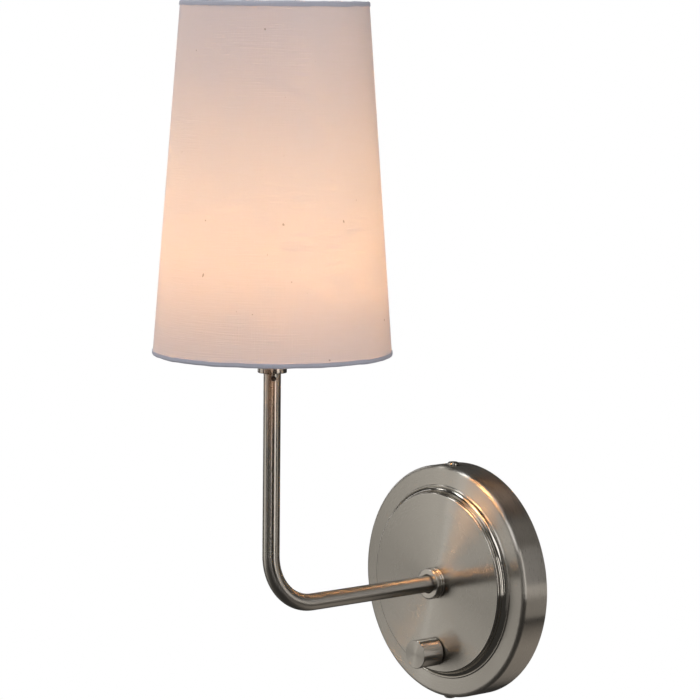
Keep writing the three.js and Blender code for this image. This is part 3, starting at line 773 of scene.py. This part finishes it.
def cloth(name, colour, through, colour_through, slub_depth):
    finish, tree, shader = start_finish(name, colour, 0.9)
    shader.inputs["Sheen Weight"].default_value = 0.15
    shader.inputs["Sheen Roughness"].default_value = 0.5
    shader.inputs["Specular IOR Level"].default_value = 0.2
    grain = node(tree, "ShaderNodeUVMap", uv_map="grain").outputs["UV"]
    weft = stretched_noise(tree, grain, WEFT)
    warp = stretched_noise(tree, grain, WARP)
    threads = node(tree, "ShaderNodeMath", operation="MULTIPLY_ADD")
    threads.inputs[1].default_value = 0.45
    tree.links.new(warp, threads.inputs[0])
    tree.links.new(weft, threads.inputs[2])
    thickness = remap(tree, threads.outputs[0], 0.5, 0.95, 0.0, 1.0)
    fleck_noise = stretched_noise(tree, grain, FLECKS, detail=1)
    flecks = remap(tree, fleck_noise, 0.77, 0.79, 0.0, 0.5)
    surface = blend_colours(tree, thickness, shaded(colour, 0.88), colour)
    tree.links.new(lay_over(tree, flecks, surface, HUSK), shader.inputs["Base Color"])
    slubs = shaded(colour_through, 1 - slub_depth)
    passing = blend_colours(tree, thickness, colour_through, slubs)
    translucent = node(tree, "ShaderNodeBsdfTranslucent")
    tree.links.new(lay_over(tree, flecks, passing, HUSK_LIT), translucent.inputs["Color"])
    weave = node(tree, "ShaderNodeTexWave", bands_direction="X", Scale=1.0)
    spread = node(tree, "ShaderNodeMapping", Scale=WEAVE)
    tree.links.new(grain, spread.inputs["Vector"])
    tree.links.new(spread.outputs["Vector"], weave.inputs["Vector"])
    height = node(tree, "ShaderNodeMath", operation="MULTIPLY_ADD")
    height.inputs[1].default_value = 0.12
    tree.links.new(weave.outputs["Fac"], height.inputs[0])
    tree.links.new(thickness, height.inputs[2])
    bump(tree, shader, height.outputs[0], 0.00012, 0.5)
    mix = node(tree, "ShaderNodeMixShader")
    mix.inputs["Fac"].default_value = through
    tree.links.new(shader.outputs["BSDF"], mix.inputs[1])
    tree.links.new(translucent.outputs["BSDF"], mix.inputs[2])
    tree.links.new(mix.outputs["Shader"], tree.nodes["Material Output"].inputs["Surface"])
    return finish


THROUGH = 0.12
shade_cloth = cloth("shade_cloth", (0.95, 0.88, 0.92), THROUGH, (0.95, 0.88, 0.78), 0.78)
wear(shade, shade_cloth)
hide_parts("shade_fabric")
print("shade cloth passes", THROUGH, "of the light, before its colour")

# %% [markdown]
# ## Rolled hems
# At each end the cloth is rolled over a ring of wire and glued back. Several layers lie there, so
# hardly any light comes through. The hems' colour is painted shade: a darker, cooler grey than the
# shade's cloth, though it is the same cloth, so the hems read as thin cool grey lines against the
# glow. Each is a turned U of cloth with a little unevenness along it, as hand rolling leaves.

# %% Roll the hems
HEM_CLOTH = 0.35
WIRE_R = 0.8
ROLL_R = WIRE_R + 0.2 + HEM_CLOTH
HEM_OUT = 0.45  # from the cloth to the outside of the hem
HEM_IN = 1.45
HEM_LEG = 1.5


def hem_outline(wire_height, side):
    centre = shade_radius(wire_height) + HEM_OUT - ROLL_R
    leg_height = wire_height + side * HEM_LEG
    leg = shade_radius(leg_height)
    turn = -180 if side > 0 else 180
    outline = [(leg + HEM_OUT, leg_height), *arc(centre, wire_height, ROLL_R, 0, turn, 14)]
    outline += [(leg - HEM_IN, leg_height), (leg - HEM_IN + HEM_CLOTH, leg_height)]
    outline += arc(centre, wire_height, ROLL_R - HEM_CLOTH, turn, 0, 10)
    outline += [(leg + HEM_OUT - HEM_CLOTH, leg_height)]
    return outline


def unevenness(angle, seed):
    waves = ((7, 0.5), (13, 0.8), (23, 0.5), (41, 0.35))
    return sum(size * math.sin(count * angle + seed * count) for count, size in waves) / 2.15


hems = []
for name, wire, side in (("hem_bottom", "shade_bottom_wire", 1), ("hem_top", "shade_top_wire", -1)):
    wire_height = middle(wire).z / MM
    hem = spin(name, hem_outline(wire_height, side), ON_UPRIGHT, "up", sides=240)
    for vert in hem.data.vertices:
        angle = math.atan2(vert.co.y, vert.co.x)
        from_wire = abs(vert.co.z / MM - wire_height)
        vert.co.z += side * 0.3 * MM * unevenness(angle, side + 2) * min(from_wire / HEM_LEG, 1)
        swell = 1 + 0.0006 * unevenness(angle, side + 5)
        vert.co.x *= swell
        vert.co.y *= swell
    hems.append(hem)
print("hems rolled over wires of radius", WIRE_R, "mm")

# Painted shade: the hems are the shade's own cloth, coloured darker and cooler to stand in for the
# shade they lie in, away from the glow.
hem_cloth = cloth("hem_cloth", (0.68, 0.68, 0.78), 0.04, (0.7, 0.6, 0.6), 0.1)
for hem, cad_node in zip(hems, ("shade_hem_bottom", "shade_hem_top")):
    wear(hem, hem_cloth)
    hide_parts(cad_node)

# %% [markdown]
# ## White enamel and the fitter
# Inside the shade a flat ring drops over the socket, and three bent wires run from it down to the
# lower ring. They are dipped in white enamel so that they don't show through the cloth.

# %% Bend the fitter's spokes
white_enamel, tree, shader = start_finish("white_enamel", (0.8, 0.79, 0.76), 0.3)
shader.inputs["Coat Weight"].default_value = 0.4
shader.inputs["Coat Roughness"].default_value = 0.12
orange_peel = place_noise(tree, 900)
roughen(tree, shader, orange_peel, 0.24, 0.38)
bump(tree, shader, orange_peel, 0.00004, 0.3)

ring_low, ring_high = heights_of("shade_fitter_ring")
fitter_outline = [(19.7, ring_low + 0.3), (20, ring_low), (24.4, ring_low)]
fitter_outline += arc(24.4, ring_low + 0.6, 0.6, -90, 0, 4)
fitter_outline += arc(24.4, ring_high - 0.6, 0.6, 0, 90, 4)
fitter_outline += [(20, ring_high), (19.7, ring_high - 0.3)]
fitter = spin("fitter_ring", fitter_outline, ON_UPRIGHT, "up", sides=96)
wear(fitter, white_enamel)
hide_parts("shade_fitter_ring")

SPOKE_R = 1.5
SPOKE_BEND = 6
spoke_z = (ring_low + ring_high) / 2
base_wire_z = middle("shade_bottom_wire").z / MM
spoke_end = shade_radius(base_wire_z) + HEM_OUT - 2 * ROLL_R - 0.3
for i in range(3):
    heading = math.pi / 2 + i * 2 * math.pi / 3
    outward = Vector((math.cos(heading), math.sin(heading), 0))
    level_side = Vector((-outward.y, outward.x, 0))
    corners = []
    bends = ((25.3, spoke_z), (42, spoke_z), (58, base_wire_z), (spoke_end, base_wire_z))
    for reach, height in bends:
        corners.append(outward * reach + Vector((0, arm_y, height)))
    spoke_path = bent_path(corners, [SPOKE_BEND, SPOKE_BEND], 10)
    spoke = sweep(f"fitter_spoke_{i + 1}", spoke_path, SPOKE_R, 20, first_side=level_side)
    wear(spoke, white_enamel)
    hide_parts(f"shade_spoke_{i + 1}")
print("fitter ring at z =", round(spoke_z, 1), "mm, spokes down to", round(base_wire_z, 1), "mm")

# %% [markdown]
# ## The socket
# A metal cap stands on the upper collar and carries a moulded phenolic body with a flange and an
# outside thread. The fitter ring rests on the flange, and a knurled ring nut clamps it. Threads
# are turned as close ridges, which look the same at this size and cost far fewer faces.

# %% Mould the socket
phenolic, tree, shader = start_finish("phenolic", (0.013, 0.012, 0.011), 0.38)
shader.inputs["Specular IOR Level"].default_value = 0.55
mould = place_noise(tree, 700)
roughen(tree, shader, mould, 0.3, 0.5)
bump(tree, shader, mould, 0.00005, 0.35)

socket_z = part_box("socket_cap")[0][2] / MM
CAP_TOP = socket_z + 12
SOCKET_FLOOR = socket_z + 16.2
FLANGE_Z = socket_z + 24
SOCKET_TOP = socket_z + 50.2
bottom = socket_z + 8.3
socket_outline = [(0, bottom), (14.4, bottom), (14.6, bottom + 0.2), (14.6, CAP_TOP + 0.3)]
socket_outline += [(16.7, CAP_TOP + 0.3), (17, CAP_TOP + 0.6), (17, FLANGE_Z - 2.8)]
socket_outline += [(22.6, FLANGE_Z - 2.8), (23, FLANGE_Z - 2.4), (23, FLANGE_Z - 0.4)]
socket_outline += [(22.6, FLANGE_Z), (18.7, FLANGE_Z)]
thread_height = FLANGE_Z + 0.6
while thread_height < SOCKET_TOP - 2.4:
    socket_outline += [(18.5, thread_height), (19.2, thread_height + 0.7)]
    socket_outline += [(19.2, thread_height + 1.1)]
    thread_height += 2
socket_outline += [(18.6, SOCKET_TOP - 0.8), (18, SOCKET_TOP), (14.9, SOCKET_TOP)]
socket_outline += [(14.3, SOCKET_TOP - 0.6), (14.3, SOCKET_FLOOR), (0, SOCKET_FLOOR)]
socket = spin("socket_moulding", socket_outline, ON_UPRIGHT, "up", sides=96)
wear(socket, phenolic)
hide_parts("socket_body")

cap_outline = [(4.4, socket_z), (11, socket_z), *arc(11.6, socket_z + 4.2, 4.2, -90, 0, 8)]
cap_outline += [(15.8, CAP_TOP - 0.2), (15.6, CAP_TOP), (15, CAP_TOP), (15, socket_z + 4.8)]
cap_outline += [*arc(11.2, socket_z + 4.2, 3.5, 0, -90, 6), (4.4, socket_z + 0.9)]
socket_cap = spin("socket_cup", cap_outline, ON_UPRIGHT, "up", sides=96)
wear(socket_cap, bright_nickel)
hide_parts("socket_cap")
print("socket ridges up to z =", round(thread_height, 1), "mm")

# %% Knurl the ring nut


def flute(piece, count, depth, beyond):
    """Ripples what lies beyond a radius of an upright turned piece, as moulded grips do. In mm."""
    for vert in piece.data.vertices:
        radius = math.hypot(vert.co.x, vert.co.y) / MM
        if radius > beyond:
            wave = 0.5 - 0.5 * math.cos(count * math.atan2(vert.co.y, vert.co.x))
            vert.co.x *= 1 - depth * wave / radius
            vert.co.y *= 1 - depth * wave / radius


GRIPS = 48
nut_low, nut_high = heights_of("shade_ring_nut")
nut_outline = [(19.5, nut_low), (22.4, nut_low), (23.6, nut_low + 0.8), (23.6, nut_low + 2.4)]
nut_outline += [(23.6, nut_high - 0.8), (22.4, nut_high), (19.5, nut_high)]
ring_nut = spin("ring_nut", nut_outline, ON_UPRIGHT, "up", sides=288)
flute(ring_nut, GRIPS, 0.7, beyond=23)
wear(ring_nut, phenolic)
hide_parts("shade_ring_nut")
print("ring nut with", GRIPS, "grips")

# %% [markdown]
# ## The bulb
# A frosted bulb with a medium screw base. The frosting spreads the filament's light, so the whole
# glass is the light source: its surface emits, warm as a 2700 kelvin lamp. Its tip and neck glow
# more than its belly, which stands nearest the cloth and would burn a white spot there. Everything
# warm about the lamp, from the shade's glow to the streaks on the metal, comes from this piece.

# %% Blow the bulb
GLOW_BELLY = (0.18, 0.12, 0.057)
GLOW_TIP = (0.82, 0.49, 0.21)
GLOW_NECK = (1.0, 0.5, 0.17)
GLOW_STRENGTH = 90
TIP_HEIGHTS = (0.244, 0.258)  # where the belly's glow turns into the tip's, in metres
NECK_HEIGHTS = (0.238, 0.2)
frosted_glass, tree, shader = start_finish("frosted_glass", (0.9, 0.85, 0.78), 0.35)
shader.inputs["Emission Strength"].default_value = GLOW_STRENGTH
near_tip = remap(tree, height_on(tree), *TIP_HEIGHTS, 0.0, 1.0)
near_neck = remap(tree, height_on(tree), *NECK_HEIGHTS, 0.0, 1.0)
belly_to_tip = blend_colours(tree, near_tip, GLOW_BELLY, GLOW_TIP)
glow = lay_over(tree, near_neck, belly_to_tip, GLOW_NECK)
tree.links.new(glow, shader.inputs["Emission Color"])
frosting = place_noise(tree, 1500)
roughen(tree, shader, frosting, 0.3, 0.45)
bump(tree, shader, frosting, 0.00003, 0.3)

bulb_seat = socket_z + 21.6
GLASS_TOP = bulb_seat + 86.6
NECK = bulb_seat + 20.6
GLASS = 0.9
SWELL = ((11.6, 0), (11.7, 5), (13.2, 11), (18, 21), (22.6, 31), (24, 41), (21, 54), (12, 63))
KEY_POINTS = [(radius, NECK + rise) for radius, rise in SWELL]


def smooth_line(points, end, steps=6):
    """Points on a smooth curve through the given ones, level where it meets the axis."""
    line = []
    stretched = [points[0], *points, end, (-points[-1][0], points[-1][1])]
    for p0, p1, p2, p3 in zip(stretched, stretched[1:], stretched[2:], stretched[3:]):
        for k in range(steps):
            t = k / steps
            spot_on_line = []
            for a, b, c, d in zip(p0, p1, p2, p3):
                bend = 2 * b + (c - a) * t + (2 * a - 5 * b + 4 * c - d) * t * t
                spot_on_line.append(0.5 * (bend + (3 * b - a - 3 * c + d) * t * t * t))
            line.append(tuple(spot_on_line))
    return [*line, end]


glass_outside = smooth_line(KEY_POINTS, (0, GLASS_TOP))
glass_inside = []
for before, here, after in zip(glass_outside, glass_outside[1:], glass_outside[2:]):
    run, rise = after[0] - before[0], after[1] - before[1]
    inward = GLASS / math.hypot(run, rise)
    glass_inside.append((max(here[0] - inward * rise, 0.4), here[1] + inward * run))
bulb_outline = [*glass_outside, (0, GLASS_TOP - GLASS), *glass_inside[::-1], (10.7, NECK)]
bulb = spin("bulb_envelope", bulb_outline, ON_UPRIGHT, "up", sides=64, sharp=60)
wear(bulb, frosted_glass)
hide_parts("bulb_glass")

THREAD_PITCH = 3.6
cap_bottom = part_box("bulb_cap")[0][2] / MM
thread = [(11.8, cap_bottom)]
for turn in range(5):
    base = cap_bottom + turn * THREAD_PITCH
    thread += [(12.1, base + 0.4), (12.5, base + 0.9), (12.95, base + 1.7), (13.0, base + 2.2)]
    thread += [(12.75, base + 2.9), (12.3, base + 3.4)]
thread += [(12.4, SOCKET_TOP - 1.6), (12.0, SOCKET_TOP - 1.6)]
cap_inside = [(r - 0.4, h) for r, h in thread[::-1]][1:]
bulb_cap = spin("bulb_screw_cap", thread + cap_inside, ON_UPRIGHT, "up", 72)
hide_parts("bulb_cap")
print("bulb reaches from", round(cap_bottom, 1), "to", round(GLASS_TOP, 1), "mm")

# %% [markdown]
# ## Plain metals
# The hidden hardware is ordinary: zinc plate with its faint spangle, brass, and bright aluminium.
# One recipe makes all three, with a cloudy tint, fine scratches and a little unevenness.

# %% Make the plain metals


def plain_metal(name, colour, roughness, cloud=0.12):
    finish, tree, shader = start_finish(name, colour, roughness, metallic=1.0)
    spot = node(tree, "ShaderNodeTexCoord").outputs["Object"]
    clouds = stretched_noise(tree, spot, (160, 160, 160), detail=4)
    fine = stretched_noise(tree, spot, (2200, 2200, 600), detail=2)
    tint = blend_colours(tree, clouds, shaded(colour, 1 - cloud), shaded(colour, 1 + cloud / 2))
    tree.links.new(tint, shader.inputs["Base Color"])
    roughen(tree, shader, clouds, roughness - 0.06, roughness + 0.08)
    bump(tree, shader, fine, 0.00002, 0.3)
    return finish


zinc = plain_metal("zinc_plate", (0.52, 0.53, 0.55), 0.36)
brass = plain_metal("brass", (0.58, 0.4, 0.15), 0.3)
aluminium = plain_metal("aluminium", (0.68, 0.69, 0.7), 0.3, cloud=0.06)
wear(bulb_cap, aluminium)
print("zinc, brass and aluminium")

# %% [markdown]
# ## The wall bracket
# A strip of zinc-plated steel is bent forward at both ends. Its slots take the wall box's screws
# and its tabs take the canopy's side screws. It is bent here by drawing the strip's edge as an
# outline and pushing that sideways through the strip's width, and then the holes are cut.

# %% Bend and pierce the bracket
BRACKET_HALF = 72.3
BRACKET_SHEET = 2
BEND_OUT = 3.4
TAB_OUT = 17.5
BRACKET_WIDTH = 22
BOX_SLOT = (35, 44.5)
GROUND_Z = 21

straight = BRACKET_HALF - BEND_OUT
strip = [(BRACKET_HALF, TAB_OUT), (BRACKET_HALF - BRACKET_SHEET, TAB_OUT)]
strip += arc(straight, BEND_OUT, BEND_OUT - BRACKET_SHEET, 0, -90, 6)
strip += arc(-straight, BEND_OUT, BEND_OUT - BRACKET_SHEET, 270, 180, 6)
strip += [(BRACKET_SHEET - BRACKET_HALF, TAB_OUT), (-BRACKET_HALF, TAB_OUT)]
strip += arc(-straight, BEND_OUT, BEND_OUT, 180, 270, 8)
strip += arc(straight, BEND_OUT, BEND_OUT, -90, 0, 8)


def push(build, corners, travel):
    """Fills an outline of points in mm and pushes it along a direction in metres."""
    face = build.faces.new([build.verts.new(corner * MM) for corner in corners])
    pushed = bmesh.ops.extrude_face_region(build, geom=[face])
    moved = [part for part in pushed["geom"] if isinstance(part, bmesh.types.BMVert)]
    bmesh.ops.translate(build, vec=travel, verts=moved)


build = bmesh.new()
edge = [Vector((-BRACKET_WIDTH / 2, -out, height)) for height, out in strip]
push(build, edge, (BRACKET_WIDTH * MM, 0, 0))
bracket = add_mesh("bracket", build)


def slot_cutter(low, high, radius):
    """A stadium-shaped cutter through the bracket, from one height to another, in mm."""
    build = bmesh.new()
    stadium = arc(0, high, radius, 0, 180, 10) + arc(0, low, radius, 180, 360, 10)
    push(build, [Vector((x, 2, z)) for x, z in stadium], (0, -6 * MM, 0))
    return add_mesh("cutter", build)


cut(bracket, slot_cutter(*BOX_SLOT, 2.3))
cut(bracket, slot_cutter(-BOX_SLOT[1], -BOX_SLOT[0], 2.3))
cut(bracket, slot_cutter(GROUND_Z - 0.01, GROUND_Z + 0.01, 1.95))
for axis in ("up", "down"):
    drill(bracket, 1.95, 66, 76, Vector((0, SIDE_SCREW_Y, 0)), axis, 32)
wear(bracket, zinc)
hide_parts("wall_bracket")
print("bracket pierced: two slots, one ground hole, two tapped tabs")

# %% [markdown]
# ## Moulded plastics
# Wire insulation and twist-on connectors are soft coloured plastics with a low sheen. Each gets a
# little mottling and a fine orange-peel surface.

# %% Make the plastics


def plastic(name, colour, roughness=0.42):
    finish, tree, shader = start_finish(name, colour, roughness)
    peel = place_noise(tree, 800, detail=3)
    tint = blend_colours(tree, peel, shaded(colour, 0.88), colour)
    tree.links.new(tint, shader.inputs["Base Color"])
    roughen(tree, shader, peel, roughness - 0.08, roughness + 0.08)
    bump(tree, shader, peel, 0.00003, 0.3)
    return finish


black_plastic = plastic("black_plastic", (0.018, 0.018, 0.02))
white_plastic = plastic("white_plastic", (0.76, 0.76, 0.73))
green_plastic = plastic("green_plastic", (0.03, 0.2, 0.06))
orange_plastic = plastic("orange_plastic", (0.68, 0.17, 0.03), 0.35)
print("four plastics")

# %% [markdown]
# ## Wiring
# Two wires run the whole way from the canopy through the arm to the socket. In the canopy they
# meet the house's supply wires in twist-on connectors, and the hot one passes through the dimmer
# first. All of it lies inside the canopy or the tube and shows only from behind.

# %% Run the wires
WIRE = 0.95
PAIR = 1.1
TRAY = 8
knob_mm = knob_z / MM
socket_end = bottom - 0.7
REAR = 11.7
LEFT, RIGHT, RIGHT_GROUND = -34, 34, 30  # where the connectors hang


def supply(x, low, length):
    return [(x, 0.6, low), (x, TRAY, low), (x, TRAY, low + length)]


# Each route is points in mm, across, out from the wall and up, then its bends' radii.
reach = -arm_y
shallow = TRAY - 0.6
hot = [(PAIR, reach, socket_end), (PAIR, reach, 0), (PAIR, shallow, 0)]
hot += [(-4, shallow, knob_mm + 3), (-4, REAR, knob_mm + 3)]
neutral = [(-PAIR, reach, socket_end), (-PAIR, reach, 0), (-PAIR, TRAY, 0)]
neutral += [(LEFT + PAIR, TRAY, -3), (LEFT + PAIR, TRAY, 18)]
dimmed = [(4, REAR, knob_mm - 3), (4, shallow, knob_mm - 3)]
dimmed += [(RIGHT - PAIR, TRAY, knob_mm - 3), (RIGHT - PAIR, TRAY, -12)]
ground = [(4.6, 3.6, GROUND_Z), (RIGHT_GROUND - PAIR, TRAY, GROUND_Z)]
ground += [(RIGHT_GROUND - PAIR, TRAY, 38)]
ROUTES = {
    "lamp_wire_hot": (hot, [BEND_R, 2, 2], black_plastic),
    "lamp_wire_neutral": (neutral, [BEND_R, 2, 4], white_plastic),
    "dimmer_lead": (dimmed, [2, 4], black_plastic),
    "supply_wire_hot": (supply(RIGHT + PAIR, -40, 28), [3], black_plastic),
    "supply_wire_neutral": (supply(LEFT - PAIR, -12, 30), [3], white_plastic),
    "supply_wire_ground": (supply(RIGHT_GROUND + PAIR, 12, 26), [3], green_plastic),
    "ground_wire": (ground, [4], green_plastic),
}
SLOT_OF = {entry["node"]: entry["material_slot"] for entry in frame["record"]["subparts"]}
for name, (points, radii, finish) in ROUTES.items():
    corners = [Vector((x, -away, z)) for x, away, z in points]
    first = (corners[1] - corners[0]).normalized()
    aside = Vector((0.3, 0.2, 1)) if abs(first.z) < 0.9 else Vector((1, 0, 0))
    across = first.cross(aside).normalized()
    wire = sweep(f"{name}_run", bent_path(corners, radii, 12), WIRE, 16, first_side=across)
    wear(wire, finish)
    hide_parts(name)
print(len(ROUTES), "wires run")

# %% Twist on the connectors
for name, x, low, finish in (
    ("wire_nut_hot", RIGHT, -20, orange_plastic),
    ("wire_nut_neutral", LEFT, 10, orange_plastic),
    ("wire_nut_ground", RIGHT_GROUND, 30, green_plastic),
):
    nut_outline = [(3.3, low), (5.3, low), (5.6, low + 0.4), (5.55, low + 2), (5.0, low + 2.6)]
    nut_outline += [(4.9, low + 5), (4.2, low + 10), (3.4, low + 15)]
    nut_outline += [*arc(2.2, low + 15.2, 1.25, 20, 90, 4), (0, low + 16.5)]
    nut_outline += [(0, low + 12), (3.2, low + 11)]
    connector = spin(f"{name}_cap", nut_outline, Vector((x, -TRAY, 0)) * MM, "up", sides=72)
    flute(connector, 12, 0.5, beyond=3.35)
    wear(connector, finish)
    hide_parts(name)
at_ground = Vector((0, 0, GROUND_Z * MM))
ground_screw = pan_screw("ground_screw_head", 1.75, 4.2, 0.3, 2.3, 4.7, at_ground, "out")
wear(ground_screw, green_plastic)
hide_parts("ground_screw")
print("three connectors and the ground screw")

# %% [markdown]
# ## The dimmer's body
# A rotary dimmer is a small moulded cup with a metal front plate and a threaded bushing. Only its
# back and side show, from behind the canopy, so it gets rounded edges, a rib and a recess there.

# %% Mould the dimmer
dimmer_outline = [(0, 12.6), (7.6, 12.6), (8, 12.3), (8.4, 12), (10.2, 12)]
dimmer_outline += [*arc(10.3, 12.5, 0.5, -90, 0, 4), (10.8, 15.5), (10.45, 15.8), (10.45, 17)]
dimmer_outline += [(10.8, 17.3), (10.8, 22.6), (3.3, 22.6), (3.3, 16.5), (0, 16.5)]
dimmer = spin("dimmer_case", dimmer_outline, ON_KNOB, sides=72)
wear(dimmer, phenolic)
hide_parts("dimmer_body")
print("dimmer case 21.6 mm across")

# %% [markdown]
# ## Finishes for the rest
# The pieces still shown straight from the frame are small and plain: nuts, washers, shafts and
# contacts. Their shapes are right as they are, so each only gets the finish of its slot.

# %% Dress the remaining frame pieces
nickel_hardware = plain_metal("nickel_hardware", NICKEL, 0.3)
clear_glass, tree, shader = start_finish("clear_glass", (0.9, 0.94, 0.93), 0.05)
shader.inputs["Transmission Weight"].default_value = 0.9
spot = node(tree, "ShaderNodeTexCoord").outputs["Object"]
drawn = stretched_noise(tree, spot, (400, 400, 120))
bump(tree, shader, drawn, 0.00004, 0.2)
tungsten, tree, shader = start_finish("tungsten", (0.3, 0.26, 0.22), 0.4, metallic=1.0)
shader.inputs["Emission Color"].default_value = (1.0, 0.55, 0.2, 1)
shader.inputs["Emission Strength"].default_value = 20
bump(tree, shader, place_noise(tree, 3000), 0.00002, 0.3)

FINISH_OF = dict(
    brushed_nickel=nickel_hardware,
    zinc_steel=zinc,
    black_steel=black_oxide,
    brass=brass,
    aluminium=aluminium,
    phenolic=phenolic,
    white_enamel=white_enamel,
    clear_glass=clear_glass,
    frosted_glass=frosted_glass,
    tungsten=tungsten,
    black_plastic=black_plastic,
    white_plastic=white_plastic,
    green_plastic=green_plastic,
    orange_plastic=orange_plastic,
    linen=shade_cloth,
    hem_cloth=hem_cloth,
)
for name, piece in frame["nodes"].items():
    piece.data.materials.clear()
    piece.data.materials.append(FINISH_OF[SLOT_OF[name]])
print(len(frame["nodes"]), "frame pieces dressed")

# %% [markdown]
# ## Studio
# Brushed metal only looks like metal when it has something to reflect: broad soft panels with
# darker gaps between them. So a Light Path node gives each ray its own surroundings: nearly black
# for what the metal mirrors, dim grey for what falls on cloth and plastic, and white behind the
# lamp. A pale floor lies well below, because the lamp hangs on a wall. It glows a little, to read
# as white, and is hidden from mirrored and scattered rays, so it doesn't light the lamp from below.

# %% Surroundings and floor
SURROUND = 0.165
SEEN_IN_METAL = 0.05
FLOOR_Z = -1.3
FLOOR_R = 2.2
FLOOR_GLOW = 0.55
world = bpy.data.worlds.new("studio")
bpy.context.scene.world = world
world.use_nodes = True
tree = world.node_tree
surround = tree.nodes["Background"]
surround.inputs["Color"].default_value = (0.96, 0.98, 1.0, 1)
surround.inputs["Strength"].default_value = SURROUND
paper = node(tree, "ShaderNodeBackground", Color=(1, 1, 1, 1), Strength=1.0)
in_metal = node(tree, "ShaderNodeBackground", Color=(1.0, 0.97, 0.93, 1), Strength=SEEN_IN_METAL)
rays = node(tree, "ShaderNodeLightPath")
darken = node(tree, "ShaderNodeMixShader")
tree.links.new(rays.outputs["Is Glossy Ray"], darken.inputs["Fac"])
tree.links.new(surround.outputs["Background"], darken.inputs[1])
tree.links.new(in_metal.outputs["Background"], darken.inputs[2])
choose = node(tree, "ShaderNodeMixShader")
tree.links.new(rays.outputs["Is Camera Ray"], choose.inputs["Fac"])
tree.links.new(darken.outputs["Shader"], choose.inputs[1])
tree.links.new(paper.outputs["Background"], choose.inputs[2])
tree.links.new(choose.outputs["Shader"], tree.nodes["World Output"].inputs["Surface"])

floor_paint, tree, shader = start_finish("floor_paint", (0.78, 0.78, 0.77), 0.8)
shader.inputs["Emission Color"].default_value = (1, 1, 1, 1)
shader.inputs["Emission Strength"].default_value = FLOOR_GLOW
build = bmesh.new()
bmesh.ops.create_circle(build, cap_ends=True, radius=FLOOR_R, segments=96)
floor_mesh = bpy.data.meshes.new("floor")
build.to_mesh(floor_mesh)
build.free()
floor = bpy.data.objects.new("floor", floor_mesh)
floor.location = (0, 0, FLOOR_Z)
floor.data.materials.append(floor_paint)
floor.visible_glossy = False
floor.visible_diffuse = False
bpy.context.scene.collection.objects.link(floor)
floor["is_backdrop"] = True
bpy.context.scene.view_settings.view_transform = "Standard"
print("surroundings at", SURROUND, "and the floor at z =", FLOOR_Z)

# %% [markdown]
# ## Soft panels
# Each panel is placed by the direction it shines from, seen from the lamp. The broad one opposite
# the camera's side is what the disc mirrors, and the small bright one above it draws the disc's
# upright fan. The others fill the cloth and put long soft lines on the tube and the side wall.

# %% Hang the panels
LAMP_MIDDLE = Vector((0, -0.09, 0.12))


def panel(name, azimuth, elevation, distance, width, height, glow, colour):
    """A soft panel facing the lamp. Its glow is 1 where lit white paper would be 1."""
    a, e = math.radians(azimuth), math.radians(elevation)
    towards = Vector((math.sin(a) * math.cos(e), -math.cos(a) * math.cos(e), math.sin(e)))
    light = bpy.data.lights.new(name, "AREA")
    light.shape = "RECTANGLE"
    light.size = width
    light.size_y = height
    light.energy = glow * math.pi * width * height
    light.color = colour
    lamp = bpy.data.objects.new(name, light)
    lamp.location = LAMP_MIDDLE + towards * distance
    lamp.visible_camera = False
    lamp.rotation_mode = "QUATERNION"
    lamp.rotation_quaternion = towards.to_track_quat("Z", "Y")
    bpy.context.scene.collection.objects.link(lamp)
    return lamp


PANELS = (
    ("panel_key", 32, 32, 2.4, 1.4, 1.2, 2.1, (0.98, 0.98, 1.0)),
    ("panel_mirror", -46, -4, 2.6, 1.6, 2.3, 0.72, (1.0, 0.98, 0.94)),
    ("panel_fan", -42, 38, 2.3, 0.3, 0.8, 7.0, (0.93, 0.97, 1.0)),
    ("panel_edge", -68, 34, 2.3, 0.3, 0.3, 5.0, (1.0, 1.0, 1.0)),
    ("panel_front", -12, 2, 2.6, 0.3, 1.6, 0.8, (1.0, 0.98, 0.95)),
    ("panel_face", 4, -6, 2.6, 0.9, 1.4, 0.08, (1.0, 0.98, 0.95)),
    ("panel_strip", 48, 3, 2.8, 0.16, 1.4, 2.8, (1.0, 0.99, 0.96)),
    ("panel_right", 98, 8, 2.4, 0.9, 1.8, 2.0, (1.0, 0.98, 0.97)),
    ("panel_behind_high", 139, 34, 2.4, 0.9, 1.2, 0.22, (1.0, 0.92, 0.84)),
    ("panel_behind", 134, -16, 2.4, 0.9, 0.98, 0.66, (1.0, 0.94, 0.87)),
    ("panel_behind_low", 165, -48, 2.4, 2.4, 1.36, 0.4, (1.0, 0.91, 0.82)),
    ("panel_top", 40, 78, 2.2, 1.3, 1.3, 1.1, (0.97, 0.98, 1.0)),
    ("panel_left", -95, 10, 2.5, 0.5, 1.8, 1.7, (0.98, 0.98, 1.0)),
)
for row in PANELS:
    panel(*row)
print(len(PANELS), "panels hung")

# %% [markdown]
# ## How much the lamp grew
# The dressed lamp's box is set against the frame's own box, which only cloth may stand proud of,
# and the growth each way is printed.

# %% Print how much the lamp grew
made_low, made_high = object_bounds()
growth = (made_high - made_low) - (cad_high - cad_low)
print("grown by", [round(along / MM, 2) for along in growth], "mm")
